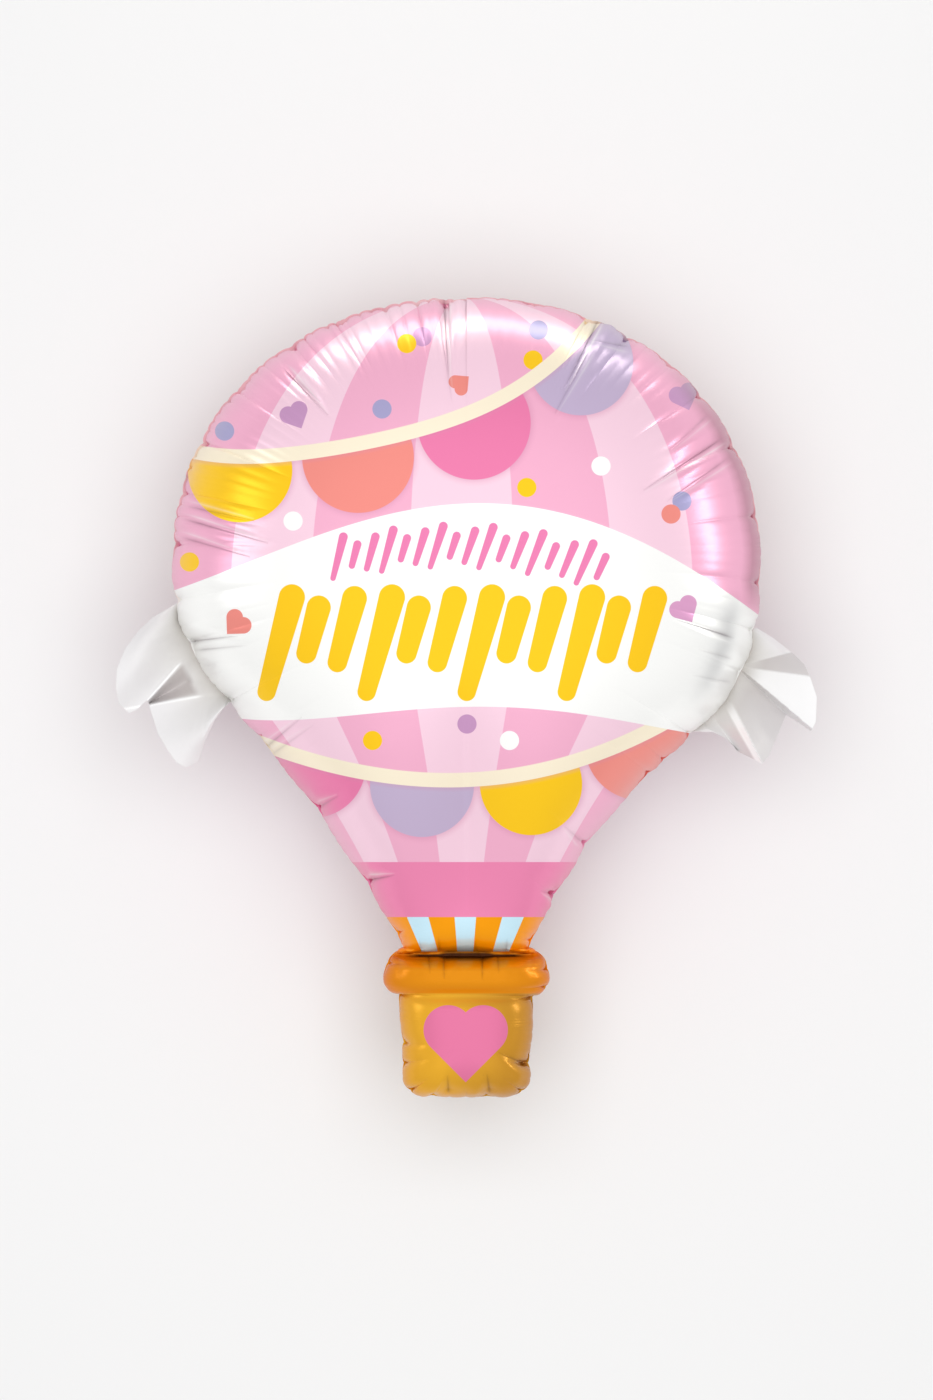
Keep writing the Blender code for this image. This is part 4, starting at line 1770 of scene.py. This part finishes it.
    def build(self) -> bpy.types.Material:
        """Makes the material.

        Returns:
            The material.
        """
        nodes = Nodes("printed_foil")
        folds = self._fold_lines(nodes)
        across, height, _ = nodes.parts(nodes.vector("print_place"))
        colour = self._at_seam(nodes, self._colour(nodes), across, height)
        colour = self._at_folds(nodes, colour, height, folds)
        colour = self._at_waist(nodes, colour, across, height)
        shader = nodes.add("BsdfPrincipled", {
            "Base Color": colour, "Metallic": self.metallic, "Roughness": self.roughness,
            "Specular IOR Level": self.specular, "Coat Weight": self.coat,
            "Coat Roughness": self.coat_roughness, "Normal": self._bump(nodes, folds[0])})
        return nodes.finish(shader.outputs[0])


@dataclass(frozen=True)
class WhiteFilm:
    """The thin pearly film of the tails. Its crumple has a scale, a strength and a depth."""

    roughness: float = 0.36
    metallic: float = 0.15
    sheen: float = 0.15
    root_shade_reach: float = 0.35
    root_shade_share: float = 0.9
    painted_shade_share: float = 0.9
    patch_scale: float = 14.0
    detail: float = 3.0
    crumple: Triple = (40.0, 0.25, 0.002)

    def build(self) -> bpy.types.Material:
        """Makes the material: off-white with faint grey patches and a soft crumple.

        The film has a beige painted shade near the seam. The mesh gives its painted shade, above 0, and
        its painted highlight, below 0.

        Returns:
            The material.
        """
        nodes = Nodes("white_film")
        body = nodes.body()
        patches = nodes.noise(body, self.patch_scale, self.detail)
        colour = nodes.mix(patches, Ink.PEARL, Ink.GREY_PEARL)
        # Painted shade: beige near the seam, falling off out along the tail.
        root = nodes.product(nodes.falling(nodes.film()[1], self.root_shade_reach), self.root_shade_share)
        colour = nodes.darken(root, colour, Ink.BEIGE)
        # Painted shade of facets and pockets above 0, painted highlight below 0.
        dusk = nodes.math("MULTIPLY", nodes.number("dusk"), self.painted_shade_share, clamp=True)
        colour = nodes.darken(dusk, colour, Ink.DUSK)
        painted_highlight = nodes.math("MULTIPLY", nodes.number("dusk"), -1.0, clamp=True)
        colour = nodes.mix(painted_highlight, colour, Ink.GLEAM)
        scale, strength, depth = self.crumple
        bump = nodes.add("Bump", {"Height": nodes.noise(body, scale, self.detail), "Strength": strength,
                                  "Distance": depth})
        shader = nodes.add("BsdfPrincipled", {
            "Base Color": colour, "Metallic": self.metallic, "Roughness": self.roughness,
            "Sheen Weight": self.sheen, "Normal": bump.outputs[0]})
        return nodes.finish(shader.outputs[0])


@dataclass(frozen=True)
class Fold:
    """One fold line of a tail.

    It has the height on the seam where it leaves it, its end on the free edge, and how far it stands
    over the seam's plane. The facet below it gets a painted highlight at a shade of -1 and painted
    shade at 1. An open fold is highest at the free edge, and a pocket halfway out.
    """

    root_y: float
    tip: Pair
    height: float
    shade: float = 0.0
    pocket: bool = False


@dataclass
class Tail:
    """One end of the banner: a thin film fan that is sealed into the body's seam.

    Its root runs from a start to an end below the balloon's widest height, at a share of the
    flange's width.
    """

    name: str
    side: Side
    outline: Outline
    depths: Depths
    body: BalloonBody
    root_start: float
    root_end: float
    edge: tuple[Pair, ...]
    folds: tuple[Fold, ...]
    rounded: bool
    columns: int = 220
    rows: int = 90
    film: float = 0.0006
    seal_share: float = 0.3
    seal_gap: float = 0.0003
    mouth_gap: float = 0.02
    steepness: float = 1.25
    facet_border: float = 0.0015
    facet_start: Pair = (0.05, 0.30)
    pocket_start: Pair = (0.20, 0.32)
    pocket_shade: float = 0.5
    pocket_border_share: float = 0.25
    pocket_rim_highlight: float = 0.0013
    sharp_angle: float = 28

    def _root(self) -> Array:
        """The line where the fan is sealed under the flange, mirrored to the right.

        Returns:
            The points, as rows of x and y.
        """
        inner, outer = self.body.seam_lines(self.side)
        line = inner + (outer - inner) * self.seal_share
        top = self.outline.widest_y
        heights = np.linspace(top - self.root_start, top - self.root_end, self.columns + 1)
        flank = (line[:, 1] > self.outline.mouth_y + self.mouth_gap) & (line[:, 1] < top)
        x, y = line[flank][::-1].T
        return np.stack([np.interp(heights, y, x), heights], axis=1)

    def _height(self, root: Array, plan: Array, out: Array) -> tuple[Array, Array]:
        """How far the film stands over the seam's plane, and its painted shade.

        Each fold line runs straight from the seam to the free edge. Between two of them the height
        goes from one to the other by the distances to both: evenly where the film has flat facets,
        and as half a cosine wave where it has rounded lobes. A line's height grows outwards as a
        quarter of a sine wave. The facet below each fold gets that fold's painted shade or highlight.
        A pocket opens a quarter of the way out and closes at the edge, has painted shade inside and a
        painted highlight along each rim, a bell curve of the distance from it.

        Args:
            root: The points where the fan leaves the seam.
            plan: The film's points in plan, rows by columns by two.
            out: Shares from the seam to the free edge.

        Returns:
            The heights, rows by columns, and the painted shade at each point, from -1 for a painted
            highlight to 1.
        """
        mirror = np.array([self.side.value, 1])
        feet = [root[0], *(root[np.argmin(np.abs(root[:, 1] - fold.root_y))] for fold in self.folds),
                root[-1]]
        tips = [root[0] + np.array([1, 0]), *(np.array(fold.tip) * mirror for fold in self.folds),
                root[-1] - np.array([0, 1])]
        below = []
        for foot, tip in zip(feet, tips):
            ahead = (tip - foot) / np.hypot(*(tip - foot))
            below.append((plan - foot) @ np.array([ahead[1], -ahead[0]]))
        height = np.zeros(plan.shape[:2])
        dusk = np.zeros(plan.shape[:2])
        opening = smooth_step(out, *self.pocket_start)
        rising = np.sin(math.pi / 2 * np.clip(out * self.steepness, 0, 1))
        for fold, last, here, following in zip(self.folds, below, below[1:], below[2:]):
            before = last / np.maximum(last - here, NO_GAP)
            after = following / np.minimum(following - here, -NO_GAP)
            near = np.clip(np.minimum(before, after), 0, 1)
            if self.rounded and not fold.pocket:
                near = 0.5 - 0.5 * np.cos(math.pi * near)
            facet = np.clip(here / self.facet_border, 0, 1) * np.clip(-following / self.facet_border, 0, 1)
            # Painted shade or highlight of the facet below this fold.
            dusk += fold.shade * facet * smooth_step(out, *self.facet_start)
            if fold.pocket:
                height += fold.height * near * opening * np.sqrt(1 - out)
                # Painted highlight along the pocket's rims and painted shade inside it.
                rim_highlights = sum(np.exp(-((line / self.pocket_rim_highlight) ** 2)) for line in (last, following))
                inside = np.clip(near / self.pocket_border_share, 0, 1)
                dusk += (inside * self.pocket_shade - rim_highlights) * opening
            else:
                height += fold.height * near * rising
        return height, dusk

    def build(self) -> bpy.types.Object:
        """Makes the fan as one closed film: rows from the root to the free edge, above and below.

        Returns:
            The object.
        """
        root = self._root()
        lip = np.array(self.edge) * np.array([self.side.value, 1])
        free = even_steps(lip, self.columns)
        out = np.linspace(0, 1, self.rows + 1)[:, None]
        along = np.linspace(0, 1, self.columns + 1)[None, :]
        plan = root[None] + (free - root)[None] * out[:, :, None]
        height, dusk = self._height(root, plan, out)
        middle = (self.depths.seam_z - self.depths.seam_thickness / 2 - self.seal_gap
                  - self.film / 2 + height)
        top, low = (np.dstack([plan, middle + half]) for half in (self.film / 2, -self.film / 2))
        for rows in (top, low):
            rows[:, :, 0] *= self.side.value
        film_map = np.dstack([np.broadcast_to(along, height.shape), np.broadcast_to(out, height.shape)])
        mirrored = self.side is Side.RIGHT
        surface = Surface()
        surface.add(top, film_map, dusk, mirrored)
        surface.add(low, film_map, dusk, not mirrored)
        for end, axis, flip in ((np.s_[:1], 0, not mirrored), (np.s_[-1:], 0, mirrored),
                                (np.s_[:, :1], 1, not mirrored), (np.s_[:, -1:], 1, mirrored)):
            pairs = ((top, low), (film_map, film_map), (dusk, dusk))
            surface.add(*(np.concatenate([upper[end], lower[end]], axis) for upper, lower in pairs), flip)
        piece, _, shades = surface.build(self.name, self.sharp_angle)
        # The painted shade and highlight, for the film's material.
        add_values(piece, "dusk", shades)
        return piece


LEFT_ROOT = (0.052, 0.178)
RIGHT_ROOT = (0.084, 0.216)
LEFT_EDGE = ((-0.3677, 0.1194), (-0.3981, 0.1003), (-0.4147, 0.0838), (-0.4312, 0.0610),
             (-0.4413, 0.0356), (-0.4426, 0.0114), (-0.4388, -0.0089), (-0.4274, -0.0203),
             (-0.4185, -0.0165), (-0.4045, -0.0038), (-0.3981, -0.0229), (-0.3905, -0.0457),
             (-0.3791, -0.0648), (-0.3664, -0.0825), (-0.3537, -0.0889), (-0.3397, -0.0813),
             (-0.3308, -0.0559), (-0.3181, -0.0292), (-0.3016, -0.0064))
RIGHT_EDGE = ((0.3689, 0.0876), (0.3880, 0.0756), (0.4108, 0.0572), (0.4280, 0.0419),
              (0.4362, 0.0248), (0.4439, 0.0000), (0.4420, -0.0305), (0.4362, -0.0432),
              (0.4070, -0.0216), (0.3829, -0.0737), (0.3740, -0.0845), (0.3537, -0.0737),
              (0.3435, -0.0686), (0.3283, -0.0521), (0.3131, -0.0445), (0.2864, -0.0438))
LEFT_FOLDS = (
    Fold(0.100, (-0.4420, 0.0200), 0.034),
    Fold(0.062, (-0.4045, -0.0060), 0.018),
    Fold(0.034, (-0.4040, -0.0080), -0.008, pocket=True),
    Fold(0.006, (-0.4020, -0.0100), 0.014),
    Fold(-0.001, (-0.3677, -0.0810), 0.030),
)
RIGHT_FOLDS = (
    Fold(0.041, (0.4108, 0.0572), 0.022, 0.42),
    Fold(0.038, (0.4324, 0.0267), 0.004, -0.60),
    Fold(0.036, (0.4362, -0.0400), 0.024, 0.10),
    Fold(0.034, (0.4070, -0.0216), -0.010, 0.28),
    Fold(0.004, (0.3740, -0.0840), 0.026, -0.60),
    Fold(-0.006, (0.3640, -0.0790), 0.020, 0.18),
    Fold(-0.022, (0.3435, -0.0686), 0.002, 0.10),
    Fold(-0.034, (0.3131, -0.0445), 0.009),
)


@dataclass(frozen=True)
class SoftLight:
    """One rectangular soft light that faces the balloon: its middle, its size and its power in watts.

    A reflected one only shows as a reflection, and the others only light the matt surfaces.
    """

    name: str
    place: Triple
    size: Pair
    power: float
    reflected: bool = True
    tint: Triple = (1, 1, 1)

    def hang(self, target: Vector) -> None:
        """Puts the light in the scene and turns it to its target.

        Args:
            target: The point that it faces.
        """
        data = bpy.data.lights.new(self.name, "AREA")
        data.shape = "RECTANGLE"
        data.size, data.size_y = self.size
        data.energy = self.power
        data.color = self.tint
        light = bpy.data.objects.new(self.name, data)
        light.location = self.place
        light.visible_camera = False
        light.visible_glossy = self.reflected
        light.visible_diffuse = not self.reflected
        light.rotation_euler = (target - Vector(self.place)).to_track_quat("-Z", "Y").to_euler()
        bpy.context.scene.collection.objects.link(light)


LIGHTS = (
    SoftLight("overhead_soft", (0.0, 0.1, 4.2), (4.5, 4.5), 142, reflected=False),
    SoftLight("left_strip", (-3.2, 0.7, 1.5), (1.8, 1.2), 12),
    SoftLight("right_strip", (3.2, 0.75, 0.85), (1.7, 0.45), 18, tint=(1.0, 0.98, 0.92)),
    SoftLight("crown_strip", (0.05, 1.10, 0.04), (1.25, 0.34), 5.5, tint=(1.0, 0.97, 0.82)),
)


@dataclass
class Studio:
    """The floor, the soft lights and the camera straight overhead."""

    depths: Depths
    frame_height: float = 1.778
    lens: float = 100.0
    far_limit: float = 30
    floor_half_width: float = 6
    floor_gap: float = 0.0005
    floor_roughness: float = 0.9
    light_target: Triple = (0, 0, 0.3)
    sky: float = 0.58

    def _camera(self) -> None:
        """Places the camera over the balloon, looking down, with the frame's height at the seam."""
        data = bpy.data.cameras.new("overhead_camera")
        data.sensor_fit = "VERTICAL"
        data.sensor_height = self.lens * self.frame_height / self.depths.eye_height
        data.lens = self.lens
        data.clip_end = self.far_limit
        camera = bpy.data.objects.new("overhead_camera", data)
        camera.location = (0, self.depths.eye_y, self.depths.seam_z + self.depths.eye_height)
        bpy.context.scene.collection.objects.link(camera)
        bpy.context.scene.camera = camera

    def _floor(self) -> None:
        """Lays a large plain floor just under the balloon's lowest point."""
        mesh = bpy.data.meshes.new("studio_floor")
        half = self.floor_half_width
        corners = [(x * half, y * half, -self.floor_gap) for x, y in ((-1, -1), (1, -1), (1, 1), (-1, 1))]
        mesh.from_pydata(corners, [], [(0, 1, 2, 3)])
        floor = bpy.data.objects.new("studio_floor", mesh)
        bpy.context.scene.collection.objects.link(floor)
        nodes = Nodes("studio_floor")
        shader = nodes.add("BsdfPrincipled", {"Base Color": Ink.FLOOR,
                                              "Roughness": self.floor_roughness})
        mesh.materials.append(nodes.finish(shader.outputs[0]))

    def build(self) -> None:
        """Sets the camera, the floor, the lights and the sky."""
        self._camera()
        self._floor()
        for light in LIGHTS:
            light.hang(Vector(self.light_target))
        world = bpy.data.worlds.new("studio_sky")
        world.use_nodes = True
        background = world.node_tree.nodes["Background"].inputs
        background["Color"].default_value = (1, 1, 1, 1)
        background["Strength"].default_value = self.sky
        bpy.context.scene.world = world
        bpy.context.scene.view_settings.view_transform = "Standard"


def dress(piece: bpy.types.Object, material: bpy.types.Material, node: str) -> None:
    """Gives a piece its material and lets it stand for its solid.

    Args:
        piece: The finished piece.
        material: Its finish.
        node: The solid that it replaces.
    """
    piece.data.materials.append(material)
    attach(piece, "root")
    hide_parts(node)
    LOG.info("%s: %d faces, stands for %s", piece.name, len(piece.data.polygons), node)


def main() -> None:
    """Builds the balloon, its tails and the studio, and reports each piece."""
    logging.basicConfig(level=logging.INFO, format="%(message)s")
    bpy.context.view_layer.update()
    outline = Outline()
    depths = Depths(outline)
    body = BalloonBody(outline, depths, Gathers(outline))
    plan = PrintPlan(outline, depths)
    balloon, points, fronts = body.build()
    plan.apply(balloon, points, fronts)
    dress(balloon, PrintedFoil(plan).build(), "balloon")
    film = WhiteFilm().build()
    for side, (start, end), edge, folds in ((Side.LEFT, LEFT_ROOT, LEFT_EDGE, LEFT_FOLDS),
                                            (Side.RIGHT, RIGHT_ROOT, RIGHT_EDGE, RIGHT_FOLDS)):
        name = "banner_tail_" + side.name.lower()
        tail = Tail(name + "_film", side, outline, depths, body, start, end, edge, folds,
                    rounded=side is Side.LEFT)
        dress(tail.build(), film, name)
    Studio(depths).build()


if __name__ == "__main__":
    main()
